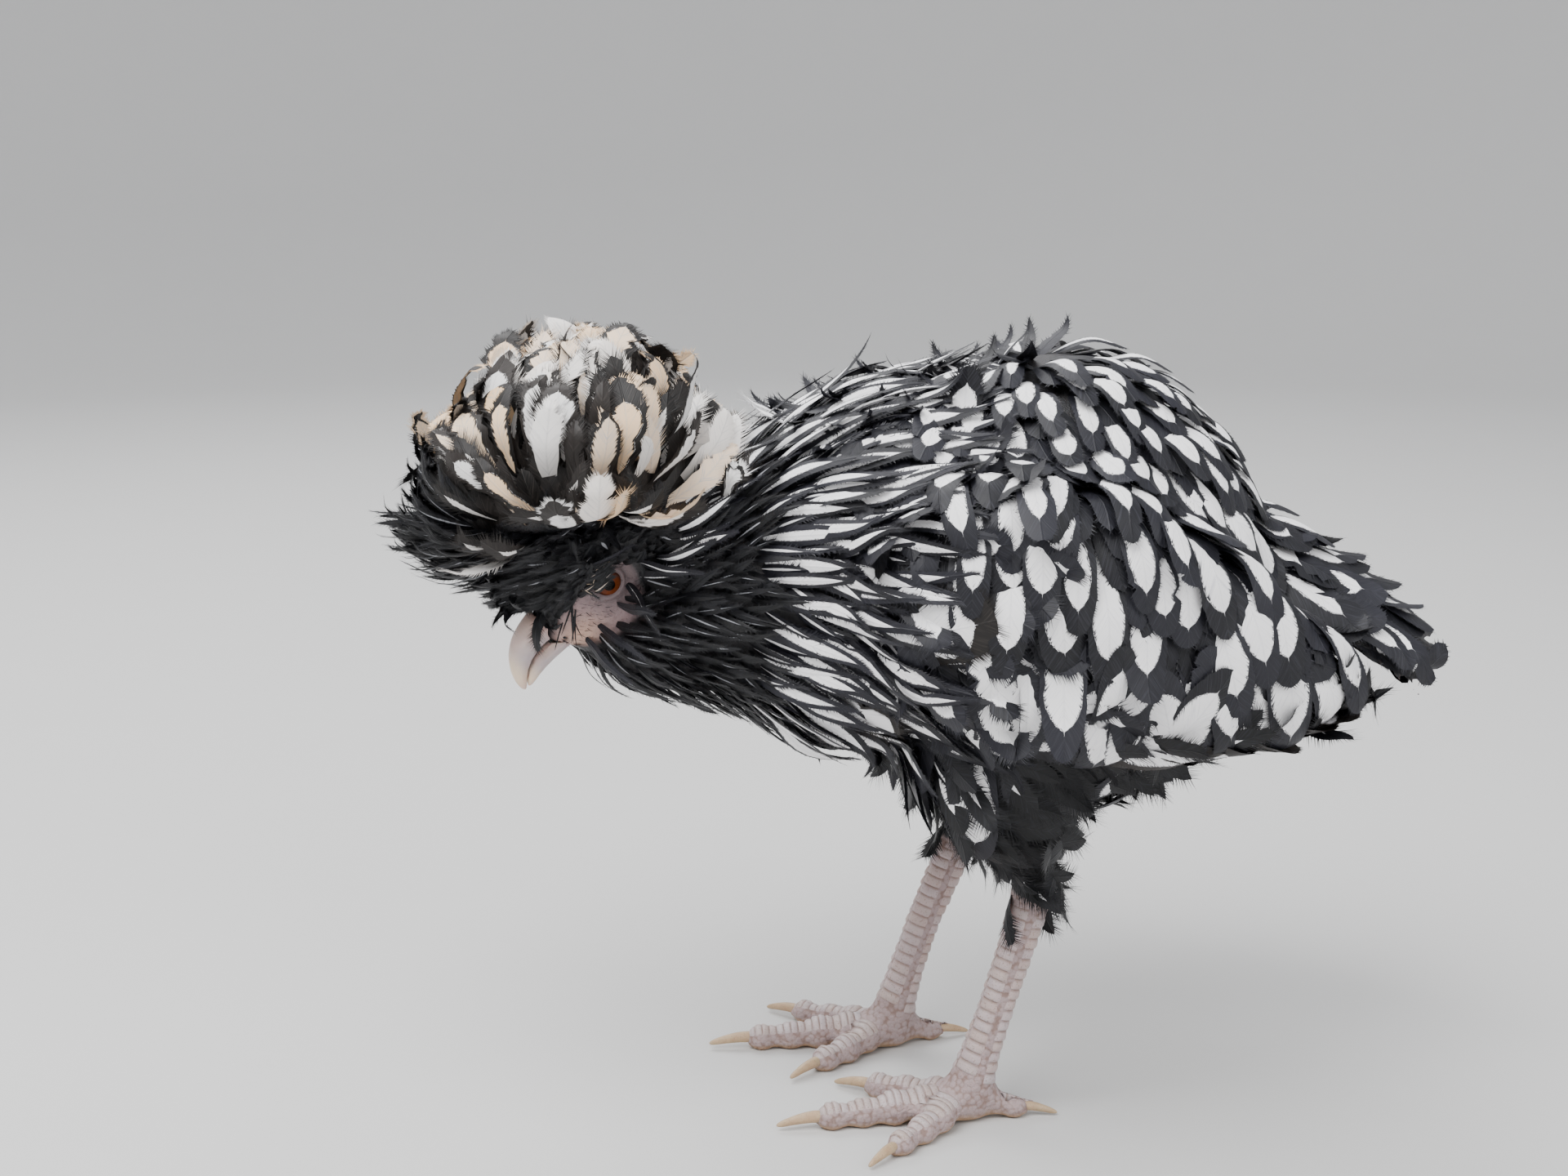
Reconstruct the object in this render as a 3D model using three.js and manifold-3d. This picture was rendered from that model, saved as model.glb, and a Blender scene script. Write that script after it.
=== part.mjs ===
// A crested hen with curled, black and white laced feathers, standing with her head low.
// Millimetres, +Z up. The hen faces -Y and her left side is +X. Places along Y and Z are
// measured in her own frame, and the last lines move her so that the origin lies on the
// floor under the middle of her box.

import * as THREE from "three";
import { mergeVertices } from "three/addons/utils/BufferGeometryUtils.js";
import Module from "manifold-3d";

const wasm = await Module();
wasm.setup();

// Sizes that the rest is worked out from
const gap = 0.35;                // clear space between two solids that meet
const crestMiddle = [0, -89, 176];
const crestHalfWidth = 46;
const headMiddle = [0, -83.8, 150]; // halfway between the eyes
const headPitch = 40;            // degrees that the bill points below level
const headTurn = 12;             // degrees that the bill turns to her left
const eyeRadius = 5.3;
const eyeOut = 11.0;             // eye's middle from the middle of the head
const backTop = 214;
const bellyLow = 80;
const bodyHalfWidth = 56;
const footOut = 26;              // foot's middle from the middle of the body
const ballHeight = 6;            // height of the toes' root over the floor
const footY = 14;
const hockHeight = 66;
const hockBack = 18;             // how far the hock is behind the foot
const stride = 12;               // how far the right foot stands ahead of the left
const toeRadius = 4.5;
const solePress = 1.2;           // how far the soles are pressed flat on the floor
const tailTip = [0, 152, 124.5];
const tailFeathers = 12;
const clawLift = 0.15;           // how far a claw's underside stays over the floor

const degrees = Math.PI / 180;
const vec = (x, y, z) => new THREE.Vector3(x, y, z);

// Materials

const finish = (color, roughness) => new THREE.MeshStandardMaterial({ color, roughness, metalness: 0 });
const materials = {
  crest: finish(0xb9b0a6, 0.85),
  hackle: finish(0x2c2c32, 0.75),
  body: finish(0x33333a, 0.75),
  quill: finish(0xcfcdc8, 0.7),
  face: finish(0xb98f8a, 0.6),
  bill: finish(0xd9c4b4, 0.4),
  eye: finish(0xa8481a, 0.15),
  leg: finish(0xb5aab0, 0.6),
  claw: finish(0xb89878, 0.45),
};

// Solids from oval sections

// A section is its middle, its reach to each side, and its reach above and below.
const section = (at, half, up, down = up) => ({ at, half, up, down });

// A section of the body given by the heights of its top, its widest place and its bottom.
const slice = (y, top, widest, bottom, half) => section([0, y, widest], half, top - widest, widest - bottom);

function through(rows, pick) {
  const points = rows.map((row) => vec(...pick(row)));
  return new THREE.CatmullRomCurve3(points, false, "catmullrom", 0.5);
}

// A closed skin over the sections. "above" is the way that a section's top faces. "relief"
// gives how far the skin stands out at a place, and "bend" moves a finished point. "turn"
// turns each section's corners by that part of a side.
function loft(rows, { sides = 20, steps = 20, above = vec(0, 0, 1), square = 2, turn = 0, relief, bend }) {
  const middle = through(rows, (row) => row.at);
  const reach = through(rows, (row) => [row.half, row.up, row.down]);
  const points = [];
  const sectionAt = (t) => {
    const centre = middle.getPoint(t);
    const along = middle.getTangent(t);
    const up = above.clone().addScaledVector(along, -above.dot(along)).normalize();
    const side = along.clone().cross(up);
    return { centre, up, side, size: reach.getPoint(t) };
  };
  const place = (point, t, angle) => {
    if (bend) bend(point, t, angle);
    points.push(point.x, point.y, point.z);
  };
  const power = 2 / square;
  place(middle.getPoint(0), 0, 0);
  for (let i = 1; i < steps; i += 1) {
    const t = i / steps;
    const { centre, up, side, size } = sectionAt(t);
    for (let j = 0; j < sides; j += 1) {
      const angle = ((j + turn) / sides) * 2 * Math.PI;
      const stand = relief ? relief(t, angle) : 0;
      const across = Math.sign(Math.cos(angle)) * Math.abs(Math.cos(angle)) ** power;
      const over = Math.sign(Math.sin(angle)) * Math.abs(Math.sin(angle)) ** power;
      const point = centre.clone().addScaledVector(side, across * (size.x + stand));
      point.addScaledVector(up, over * ((over > 0 ? size.y : size.z) + stand));
      place(point, t, angle);
    }
  }
  place(middle.getPoint(1), 1, 0);
  return closedSkin(points, sides, steps - 1);
}

function closedSkin(points, sides, rings) {
  const faces = [];
  const end = 1 + rings * sides;
  const corner = (ring, j) => 1 + ring * sides + (j % sides);
  for (let j = 0; j < sides; j += 1) {
    faces.push(0, corner(0, j), corner(0, j + 1));
    faces.push(end, corner(rings - 1, j + 1), corner(rings - 1, j));
    for (let ring = 0; ring < rings - 1; ring += 1) {
      faces.push(corner(ring, j), corner(ring + 1, j + 1), corner(ring, j + 1));
      faces.push(corner(ring, j), corner(ring + 1, j), corner(ring + 1, j + 1));
    }
  }
  const geometry = new THREE.BufferGeometry();
  geometry.setAttribute("position", new THREE.Float32BufferAttribute(points, 3));
  geometry.setIndex(faces);
  return geometry;
}

// The same skin on the other side of the body.
function mirrored(geometry) {
  const twin = geometry.clone();
  const { position } = twin.attributes;
  for (let i = 0; i < position.count; i += 1) position.setX(i, -position.getX(i));
  twin.setIndex(Array.from(geometry.index.array).reverse());
  return twin;
}

// Cutting one solid by others

// The solid that clears room for another: the same skin, moved out by the gap.
function room(geometry) {
  const grown = geometry.clone();
  grown.computeVertexNormals();
  const { position, normal } = grown.attributes;
  for (let i = 0; i < position.count; i += 1) {
    const point = vec(0, 0, 0).fromBufferAttribute(position, i);
    point.addScaledVector(vec(0, 0, 0).fromBufferAttribute(normal, i), gap);
    position.setXYZ(i, point.x, point.y, point.z);
  }
  return grown;
}

function asSolid(geometry) {
  return new wasm.Manifold(new wasm.Mesh({
    numProp: 3,
    vertProperties: new Float32Array(geometry.attributes.position.array),
    triVerts: new Uint32Array(geometry.index.array),
  }));
}

// What is left of a solid once its neighbours have their room.
function cut(geometry, ...neighbours) {
  let solid = asSolid(geometry);
  for (const neighbour of neighbours) solid = solid.subtract(asSolid(room(neighbour)));
  const { vertProperties, triVerts } = solid.getMesh();
  const left = new THREE.BufferGeometry();
  left.setAttribute("position", new THREE.BufferAttribute(vertProperties, 3));
  left.setIndex(new THREE.BufferAttribute(triVerts, 1));
  return left;
}

// Feather relief

// Rows of overlapping feathers: each row rises towards its tips, and tips sit between those
// of the row before.
const feathered = (rows, columns, depth) => (t, angle) => {
  const row = t * rows;
  const turn = (angle * columns) / 2 + (Math.floor(row) % 2) * (Math.PI / 2);
  const rise = row - Math.floor(row);
  return depth * rise * (0.45 + 0.55 * Math.abs(Math.cos(turn)));
};

// Round tufts spread evenly over a ball.
const tuftCentres = (count) => Array.from({ length: count }, (_, i) => {
  const height = 1 - (2 * (i + 0.5)) / count;
  const turn = i * Math.PI * (3 - Math.sqrt(5));
  const ring = Math.sqrt(1 - height * height);
  return vec(ring * Math.cos(turn), ring * Math.sin(turn), height);
});

// Head

const headPlace = new THREE.Matrix4().compose(
  vec(...headMiddle),
  new THREE.Quaternion().setFromEuler(new THREE.Euler(headPitch * degrees, 0, headTurn * degrees, "ZXY")),
  vec(1, 1, 1),
);
const onHead = (geometry) => geometry.applyMatrix4(headPlace);

// In the head's own frame the bill points to -Y and the eyes lie on the X axis.
const headSolid = () => onHead(loft([
  section([0, -21.5, -2], 0.4, 0.4),
  section([0, -20, -2], 6.2, 5.6, 6.4),
  section([0, -13, -1.5], 9.2, 7.6, 8.4),
  section([0, -6, -0.5], 12.6, 11, 11.5),
  section([0, 1, 0], 14.9, 15, 13.5),
  section([0, 9, 0.5], 16.2, 17, 15),
  section([0, 17, 0], 15, 14, 14.5),
  section([0, 23, -1], 9.5, 8.5, 9),
  section([0, 25, -1], 0.4, 0.4),
], {
  sides: 14,
  steps: 12,
  square: 2.15,
  relief: (t, angle) => {
    const brow = Math.exp(-(((t - 0.47) / 0.12) ** 2)) * Math.exp(-((Math.sin(angle) - 0.5) ** 2) / 0.03);
    return 1.3 * brow * Math.abs(Math.cos(angle));
  },
}));

const billUpperRows = [
  section([0, -15, -0.4], 0.3, 0.3),
  section([0, -15.6, -0.4], 6.1, 4.6, 4.2),
  section([0, -20.5, -0.6], 6.2, 5.0, 4.3),
  section([0, -25.5, -1.4], 5.2, 4.8, 3.8),
  section([0, -29.8, -3.4], 3.9, 3.9, 3.1),
  section([0, -33, -6.6], 2.4, 2.5, 2.1),
  section([0, -34.5, -9.8], 1.2, 1.2, 1.1),
  section([0, -34.9, -11.2], 0.25, 0.25),
];
const billLowerRows = [
  section([0, -14.4, -7.2], 0.3, 0.3),
  section([0, -15, -7.2], 5.0, 2.4, 2.4),
  section([0, -20.5, -7.2], 5.0, 2.6, 2.7),
  section([0, -25.5, -7.5], 4.0, 2.4, 2.5),
  section([0, -29.8, -8.7], 2.7, 1.9, 1.9),
  section([0, -32.5, -10.2], 1.5, 1.1, 1.1),
  section([0, -33.5, -11], 0.25, 0.25),
];
const billForm = { sides: 8, steps: 9, square: 2.2 };
const billUpper = () => onHead(loft(billUpperRows, billForm));
const billLower = () => onHead(loft(billLowerRows, billForm));

function eyeBall(side) {
  const ball = new THREE.IcosahedronGeometry(eyeRadius, 2);
  ball.deleteAttribute("normal");
  ball.deleteAttribute("uv");
  return onHead(mergeVertices(ball, 1e-4).translate(side * eyeOut, 0, 0));
}

// The crest's outline from the side, as its reach from the crest's middle at each angle
// from the back (+Y) over the top.
const crestOutline = [
  [-160, 49.5], [-146, 47], [-128, 41], [-104, 28.5], [-78, 21.5], [-56, 29], [-36, 42], [-18, 42],
  [5, 42], [25, 42], [50, 41], [72, 41.5], [92, 41.5], [112, 38.5], [132, 36.5], [150, 37],
  [170, 42], [186, 46.5],
];

function crestReach(angle) {
  const start = crestOutline[0][0];
  const turn = ((angle / degrees - start + 720) % 360) + start;
  const loop = [...crestOutline, [start + 360, crestOutline[0][1]]];
  const next = loop.findIndex((row) => row[0] > turn);
  const [fromTurn, fromReach] = loop[next - 1];
  const [toTurn, toReach] = loop[next];
  const part = (turn - fromTurn) / (toTurn - fromTurn);
  const ease = part * part * (3 - 2 * part);
  return fromReach + (toReach - fromReach) * ease;
}

const crestTufts = 90;
const tuftHeight = 5;
const tuftTightness = 40; // how steeply a tuft falls off from its middle

function crestDome() {
  const tufts = tuftCentres(crestTufts);
  const dome = new THREE.IcosahedronGeometry(1, 6);
  dome.deleteAttribute("normal");
  dome.deleteAttribute("uv");
  const skin = mergeVertices(dome, 1e-4);
  const { position } = skin.attributes;
  for (let i = 0; i < position.count; i += 1) {
    const way = vec(0, 0, 0).fromBufferAttribute(position, i).normalize();
    const flat = Math.hypot(way.y, way.z) / crestReach(Math.atan2(way.z, way.y));
    const reach = 1 / Math.hypot(flat, way.x / crestHalfWidth);
    const nearest = Math.max(...tufts.map((tuft) => tuft.dot(way)));
    const tuft = Math.max(0, 1 - (1 - nearest) * tuftTightness);
    const point = way.multiplyScalar(reach + tuftHeight * (tuft - 0.7));
    position.setXYZ(i, point.x, point.y, point.z);
  }
  return skin.rotateZ(headTurn * 0.6 * degrees).translate(...crestMiddle);
}

// Neck and body

const hackleSweep = 30; // how far the hem of the neck feathers runs forward under the throat
const neckLocks = 10;   // locks of feathers around the neck

const neckSolid = () => loft([
  slice(-91, 130, 129.5, 129, 0.4),
  slice(-88.5, 133, 129, 122, 9),
  slice(-80, 139.5, 129.5, 114.5, 18),
  slice(-70, 149, 134, 110, 25),
  slice(-56, 169, 141, 106, 32),
  slice(-40, 184, 146, 103.5, 40),
  slice(-24, 194, 149, 102, 47),
  slice(-8, 201, 151, 99, 52.5),
  slice(4, 201, 151, 99, 53.5),
  slice(9, 186, 151, 114, 36),
  slice(10, 152, 151, 150, 0.4),
], {
  sides: neckLocks * 2,
  steps: 16,
  relief: (t, angle) => {
    const locks = THREE.MathUtils.smoothstep(t, 0.1, 0.6) * Math.cos(angle * neckLocks);
    return feathered(5, neckLocks, 2.2)(t, angle) + locks;
  },
  bend: (point, t, angle) => {
    const under = Math.max(0, -Math.sin(angle));
    const hem = THREE.MathUtils.smoothstep(t, 0.3, 0.9);
    point.y += hem * (3 * Math.cos(angle * neckLocks) - hackleSweep * under * under);
  },
});

const trunkSolid = () => loft([
  slice(-45, 140.5, 140, 139.5, 0.4),
  slice(-42, 154, 140, 122, 20),
  slice(-35, 166, 142, 112, 30),
  slice(-22, 181, 144, 103, 41),
  slice(-6, 193, 146, 96, 49),
  slice(12, 203, 147, 88, bodyHalfWidth - 2),
  slice(30, backTop - 3, 148, bellyLow + 3, bodyHalfWidth - 1),
  slice(46, backTop - 3, 148, bellyLow + 1, bodyHalfWidth - 2),
  slice(61, backTop - 9, 147, bellyLow + 2, bodyHalfWidth - 6),
  slice(73, backTop - 21, 146, bellyLow + 7, bodyHalfWidth - 12),
  slice(83, backTop - 35, 144, bellyLow + 17, bodyHalfWidth - 20),
  slice(91, backTop - 51, 142, bellyLow + 32, bodyHalfWidth - 31),
  slice(94.5, 146, 141, bellyLow + 56, 5),
  slice(95, 141.5, 141, 140.5, 0.4),
], { sides: 20, steps: 21, square: 2.1, relief: feathered(7, 10, 4.2) });

// Wings and tail

// Three layers of wing feathers, coverts, secondaries and primaries. Each rises to its hem
// and stands over the next.
const wingLayers = [0, 0.45, 0.76, 1.01];
const layerStep = 3.4;

function layerRise(t) {
  const layer = wingLayers.findIndex((start) => start > t) - 1;
  return (t - wingLayers[layer]) / (wingLayers[layer + 1] - wingLayers[layer]);
}

const wingSolid = () => loft([
  section([46, -19, 151], 0.4, 0.4),
  section([47, -16, 151], 4, 11, 11),
  section([50, -4, 151], 7.5, 24, 25),
  section([51.5, 16, 149], 9, 31, 34),
  section([51.5, 38, 146], 9, 29, 36),
  section([49.5, 60, 140], 8, 25, 33),
  section([45.5, 80, 133], 6.5, 19, 26),
  section([40.5, 98, 126], 4.4, 12, 17),
  section([36.5, 112, 121], 3, 6.5, 9.5),
  section([34, 120, 118], 1.6, 2.5, 2.5),
  section([33.5, 122, 117.5], 0.3, 0.3),
], {
  sides: 14,
  steps: 17,
  square: 2.3,
  relief: (t, angle) => {
    const feather = 0.9 * t * Math.cos(angle * 7);
    return layerStep * layerRise(t) * Math.sqrt(Math.abs(Math.cos(angle))) + feather;
  },
});

const tailSolid = () => loft([
  section([0, 80, 152], 0.4, 0.4),
  section([0, 84, 151.5], 17, 12, 12),
  section([0, 97, 149], 23, 11, 11.5),
  section([0, 111, 144], 28, 8, 8),
  section([0, 126, 137], 32, 5, 4.6),
  section([0, 140, 130], 33, 3.2, 2.8),
  section([0, 149, 125.6], 28, 2, 1.6),
  section(tailTip, 0.4, 0.4),
], {
  sides: tailFeathers * 2,
  steps: 10,
  square: 2.1,
  relief: (t, angle) => 0.8 * t * Math.cos(angle * tailFeathers),
  bend: (point, t, angle) => {
    // the fan droops at its sides, like a low tent, and its outer feathers are shorter
    point.z -= 0.016 * point.x * point.x * t;
    point.y -= 0.012 * point.x * point.x * t;
    point.y += 2.5 * t * t * Math.cos(angle * tailFeathers);
  },
});

// Legs

// Presses a leg's underside flat at a height.
const pressed = (lowest) => (point) => {
  point.z = Math.max(point.z, lowest);
};

// The foot stands forward by "ahead", and the leg's other parts by less the higher they are.
const hockY = (ahead) => footY + hockBack - ahead * 0.8;

const thighSolid = (ahead) => loft([
  section([30, 9, 118], 0.4, 0.4),
  section([30, 10, 115.5], 12, 14, 14),
  section([30.5, 13, 106], 17, 19, 20),
  section([29.5, 19 - ahead * 0.2, 93], 15.5, 17, 18),
  section([27.5, hockY(ahead * 0.6) - 5, 80], 11, 12, 13),
  section([footOut, hockY(ahead * 0.9) - 1, 70], 7.8, 8.6, 9),
  section([footOut, hockY(ahead), hockHeight - 0.5], 6.4, 7, 7.2),
  section([footOut, hockY(ahead), hockHeight - 1.5], 0.4, 0.4),
], { sides: 10, steps: 10, above: vec(0, -1, 0), relief: feathered(3.34, 5, 2.2) });

const shankSolid = (ahead) => {
  const hockAt = hockY(ahead);
  const footAt = footY - ahead;
  return loft([
    section([footOut, hockAt, hockHeight + 9], 0.4, 0.4),
    section([footOut, hockAt, hockHeight + 8], 4.6, 5.2),
    section([footOut, hockAt - 0.5, hockHeight], 5.6, 6.4),
    section([footOut, hockAt - 3, hockHeight - 10], 5.0, 5.6),
    section([footOut, footAt + 9, 36], 4.7, 5.1),
    section([footOut, footAt + 4, 20], 5.2, 5.4),
    section([footOut, footAt + 1.5, 12], 6.6, 6.4),
    section([footOut, footAt, 6], 7.2, 7.2),
    section([footOut, footAt, 1.5], 6.2, 6.2),
    section([footOut, footAt, -1], 5, 5),
    section([footOut, footAt, -1.5], 0.3, 0.3),
  ], {
    sides: 8,
    steps: 13,
    turn: 0.5,
    above: vec(0, -1, 0),
    bend: pressed(0),
  });
};

// A toe's name, heading in degrees outward from straight ahead, length, claw length,
// root height and how thick it is against the middle toe.
const toes = [
  { name: "inner", heading: -36, length: 33, claw: 9, root: ballHeight, girth: 0.93, joints: 2 },
  { name: "middle", heading: 3, length: 44, claw: 10.5, root: ballHeight, girth: 1, joints: 3 },
  { name: "outer", heading: 42, length: 36, claw: 9, root: ballHeight, girth: 0.9, joints: 3 },
  { name: "hind", heading: 172, length: 18, claw: 8, root: ballHeight + 4, girth: 0.82, joints: 1 },
];

const toePoint = (toe, ahead, along, height) => {
  const turn = toe.heading * degrees;
  return [footOut + Math.sin(turn) * along, footY - ahead - Math.cos(turn) * along, height];
};

function toeSolid(toe, ahead) {
  const radius = toeRadius * toe.girth;
  const rest = radius - solePress;
  const at = (part, height) => toePoint(toe, ahead, part * toe.length, height);
  return loft([
    section(at(0.02, toe.root), 0.4, 0.4),
    section(at(0.06, toe.root), radius * 0.95, radius * 0.95),
    section(at(0.3, (toe.root + rest) / 2), radius * 1.04, radius * 1.04),
    section(at(0.55, rest), radius * 0.95, radius * 0.95),
    section(at(0.82, rest - 0.3), radius * 0.84, radius * 0.84),
    section(at(0.96, rest - 0.7), radius * 0.66, radius * 0.66),
    section(at(1, rest - 0.9), 0.4, 0.4),
  ], {
    sides: 8,
    steps: 7,
    turn: 0.5,
    relief: (t) => 0.35 * Math.cos((t - 0.1) * 2 * Math.PI * toe.joints),
    bend: pressed(0),
  });
}

function clawSolid(toe, ahead) {
  const high = toeRadius * toe.girth - 1.4;
  const at = (part, height) => toePoint(toe, ahead, toe.length - 2 + part * (toe.claw + 1), height);
  const thick = 1.95 * toe.girth;
  return loft([
    section(at(0, high), 0.3, 0.3),
    section(at(0.05, high), thick, thick),
    section(at(0.35, high + 0.2), thick * 0.92, thick * 0.95),
    section(at(0.7, high - 0.5), thick * 0.65, thick * 0.7),
    section(at(0.94, high - 1.3), thick * 0.4, thick * 0.42),
    section(at(1, high - 1.5), 0.3, 0.3),
  ], { sides: 6, steps: 5, bend: pressed(clawLift) });
}

// The hen, piece by piece

const hen = new THREE.Group();

function add(name, geometry, material, parent = hen) {
  const mesh = new THREE.Mesh(geometry, material);
  mesh.name = name;
  parent.add(mesh);
}

function addLeg(side, ahead) {
  const suffix = side > 0 ? "left" : "right";
  const leg = new THREE.Group();
  const turned = (geometry) => (side > 0 ? geometry : mirrored(geometry));
  const shank = shankSolid(ahead);
  add(`thigh_${suffix}`, turned(cut(thighSolid(ahead), shank, neck)), materials.body, leg);
  add(`shank_${suffix}`, turned(shank), materials.leg, leg);
  const laid = [];
  for (const toe of toes) {
    const claw = clawSolid(toe, ahead);
    const whole = toeSolid(toe, ahead);
    add(`toe_${toe.name}_${suffix}`, turned(cut(whole, shank, claw, ...laid)), materials.leg, leg);
    add(`claw_${toe.name}_${suffix}`, turned(claw), materials.claw, leg);
    laid.push(whole);
  }
  hen.add(leg);
}

const head = headSolid();
const crest = crestDome();
const neck = neckSolid();
const trunk = trunkSolid();
const wings = [wingSolid(), mirrored(wingSolid())];
const thighs = [thighSolid(0), mirrored(thighSolid(stride))];
const eyes = [eyeBall(1), eyeBall(-1)];

add("head", cut(head, ...eyes), materials.face);
add("crest", cut(crest, head), materials.crest);
add("bill_upper", cut(billUpper(), head), materials.bill);
add("bill_lower", cut(billLower(), head, billUpper()), materials.bill);
add("eye_left", eyes[0], materials.eye);
add("eye_right", eyes[1], materials.eye);
add("neck", cut(neck, head, crest), materials.hackle);
add("trunk", cut(trunk, neck, ...wings, ...thighs), materials.body);
add("tail", cut(tailSolid(), trunk, ...wings), materials.quill);
add("wing_left", cut(wings[0], neck), materials.body);
add("wing_right", cut(wings[1], neck), materials.body);
addLeg(1, 0);
addLeg(-1, stride);

// The origin goes to the middle of the box, on the floor.
const box = new THREE.Box3().setFromObject(hen);
const middle = box.getCenter(vec(0, 0, 0));
hen.position.set(-middle.x, -middle.y, -box.min.z);

export default hen;
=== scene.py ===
# Polish crested hen, still: skin, bill, eyes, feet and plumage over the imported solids
import math

import bmesh
import bpy
import numpy as np
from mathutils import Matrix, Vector
from mathutils.bvhtree import BVHTree


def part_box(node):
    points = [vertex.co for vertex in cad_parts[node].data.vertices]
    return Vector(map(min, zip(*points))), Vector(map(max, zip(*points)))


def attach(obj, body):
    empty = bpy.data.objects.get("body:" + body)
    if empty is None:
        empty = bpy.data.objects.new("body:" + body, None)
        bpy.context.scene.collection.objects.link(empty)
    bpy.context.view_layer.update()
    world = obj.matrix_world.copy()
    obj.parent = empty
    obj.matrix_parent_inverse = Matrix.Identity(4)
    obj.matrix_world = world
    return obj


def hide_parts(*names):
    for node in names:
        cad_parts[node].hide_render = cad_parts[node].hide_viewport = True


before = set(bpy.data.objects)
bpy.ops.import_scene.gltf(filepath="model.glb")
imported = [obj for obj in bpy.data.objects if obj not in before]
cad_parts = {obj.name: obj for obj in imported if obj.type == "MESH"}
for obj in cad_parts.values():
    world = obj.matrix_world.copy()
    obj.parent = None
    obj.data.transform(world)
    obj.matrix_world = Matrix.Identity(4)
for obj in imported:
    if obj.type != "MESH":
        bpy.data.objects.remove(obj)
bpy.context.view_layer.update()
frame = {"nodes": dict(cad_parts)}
mm = 0.001
rng = np.random.default_rng(29)


# Camera and light
view = {"azimuth": 82, "elevation": 12, "distance": 0.62, "lens": 52.8, "target": (0, -0.0421, 0.1439)}


def aimAt(thing, target):
    thing.rotation_euler = (Vector(target) - thing.location).to_track_quat("-Z", "Y").to_euler()


def around(azimuth, elevation, distance, target):
    a, e = math.radians(azimuth), math.radians(elevation)
    step = Vector((math.cos(e) * math.sin(a), -math.cos(e) * math.cos(a), math.sin(e)))
    return Vector(target) + step * distance


def placed(name, data):
    # a new object in the scene
    made = bpy.data.objects.new(name, data)
    bpy.context.scene.collection.objects.link(made)
    return made


def addCamera():
    camera = placed("camera", bpy.data.cameras.new("camera"))
    camera.data.lens = view["lens"]
    camera.data.sensor_width = 36
    camera.data.clip_start = 0.01
    camera.location = around(view["azimuth"], view["elevation"], view["distance"], view["target"])
    aimAt(camera, view["target"])
    bpy.context.scene.camera = camera


lamps = {
    "key": {"azimuth": 40, "elevation": 58, "distance": 1.3, "size": 1.1, "power": 28},
    "fill": {"azimuth": 130, "elevation": 25, "distance": 1.5, "size": 1.2, "power": 10},
    "rim": {"azimuth": 285, "elevation": 50, "distance": 1.4, "size": 0.9, "power": 14},
}


def addLights():
    for name, lamp in lamps.items():
        light = bpy.data.lights.new(name, "AREA")
        light.size = lamp["size"]
        light.energy = lamp["power"]
        holder = placed(name, light)
        holder.location = around(lamp["azimuth"], lamp["elevation"], lamp["distance"], view["target"])
        aimAt(holder, view["target"])
    world = bpy.data.worlds.new("studio")
    world.use_nodes = True
    sky = world.node_tree.nodes["Background"]
    sky.inputs["Color"].default_value = (0.93, 0.95, 1, 1)
    sky.inputs["Strength"].default_value = 0.95
    bpy.context.scene.world = world


addCamera()
addLights()
print("camera and lights are in place")


# Shader nodes
def feed(tree, socket, value):
    # links a socket to another one, or sets its value
    if isinstance(value, bpy.types.NodeSocket):
        tree.links.new(value, socket)
    else:
        socket.default_value = value


def addNode(tree, kind, inputs=None, **settings):
    made = tree.nodes.new("ShaderNode" + kind)
    for name, value in settings.items():
        setattr(made, name, value)
    for key, value in (inputs or {}).items():
        feed(tree, made.inputs[key], value)
    return made


def sums(tree, operation, first, second=0.0, third=0.0):
    return addNode(tree, "Math", {0: first, 1: second, 2: third}, operation=operation).outputs[0]


def blendColour(tree, share, first, second):
    mix = addNode(tree, "Mix", {0: share}, data_type="RGBA")
    for index, value in ((6, first), (7, second)):
        feed(tree, mix.inputs[index], (*value, 1) if isinstance(value, tuple) else value)
    return mix.outputs[2]


def ease(tree, value, low, high):
    inputs = {"Value": value, "From Min": low, "From Max": high}
    return addNode(tree, "MapRange", inputs, interpolation_type="SMOOTHSTEP").outputs["Result"]


def attribute(tree, name):
    return addNode(tree, "Attribute", attribute_name=name).outputs["Fac"]


def noise(tree, vector, scale, detail=3.0, roughness=0.5):
    inputs = {"Vector": vector, "Scale": scale, "Detail": detail, "Roughness": roughness}
    return addNode(tree, "TexNoise", inputs).outputs["Fac"]


def newGroup(name, takes, gives):
    group = bpy.data.node_groups.new(name, "ShaderNodeTree")
    for label, kind, value in takes:
        socket = group.interface.new_socket(name=label, in_out="INPUT", socket_type="NodeSocket" + kind)
        socket.default_value = value
    for label, kind in gives:
        group.interface.new_socket(name=label, in_out="OUTPUT", socket_type="NodeSocket" + kind)
    return group, group.nodes.new("NodeGroupInput"), group.nodes.new("NodeGroupOutput")


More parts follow.
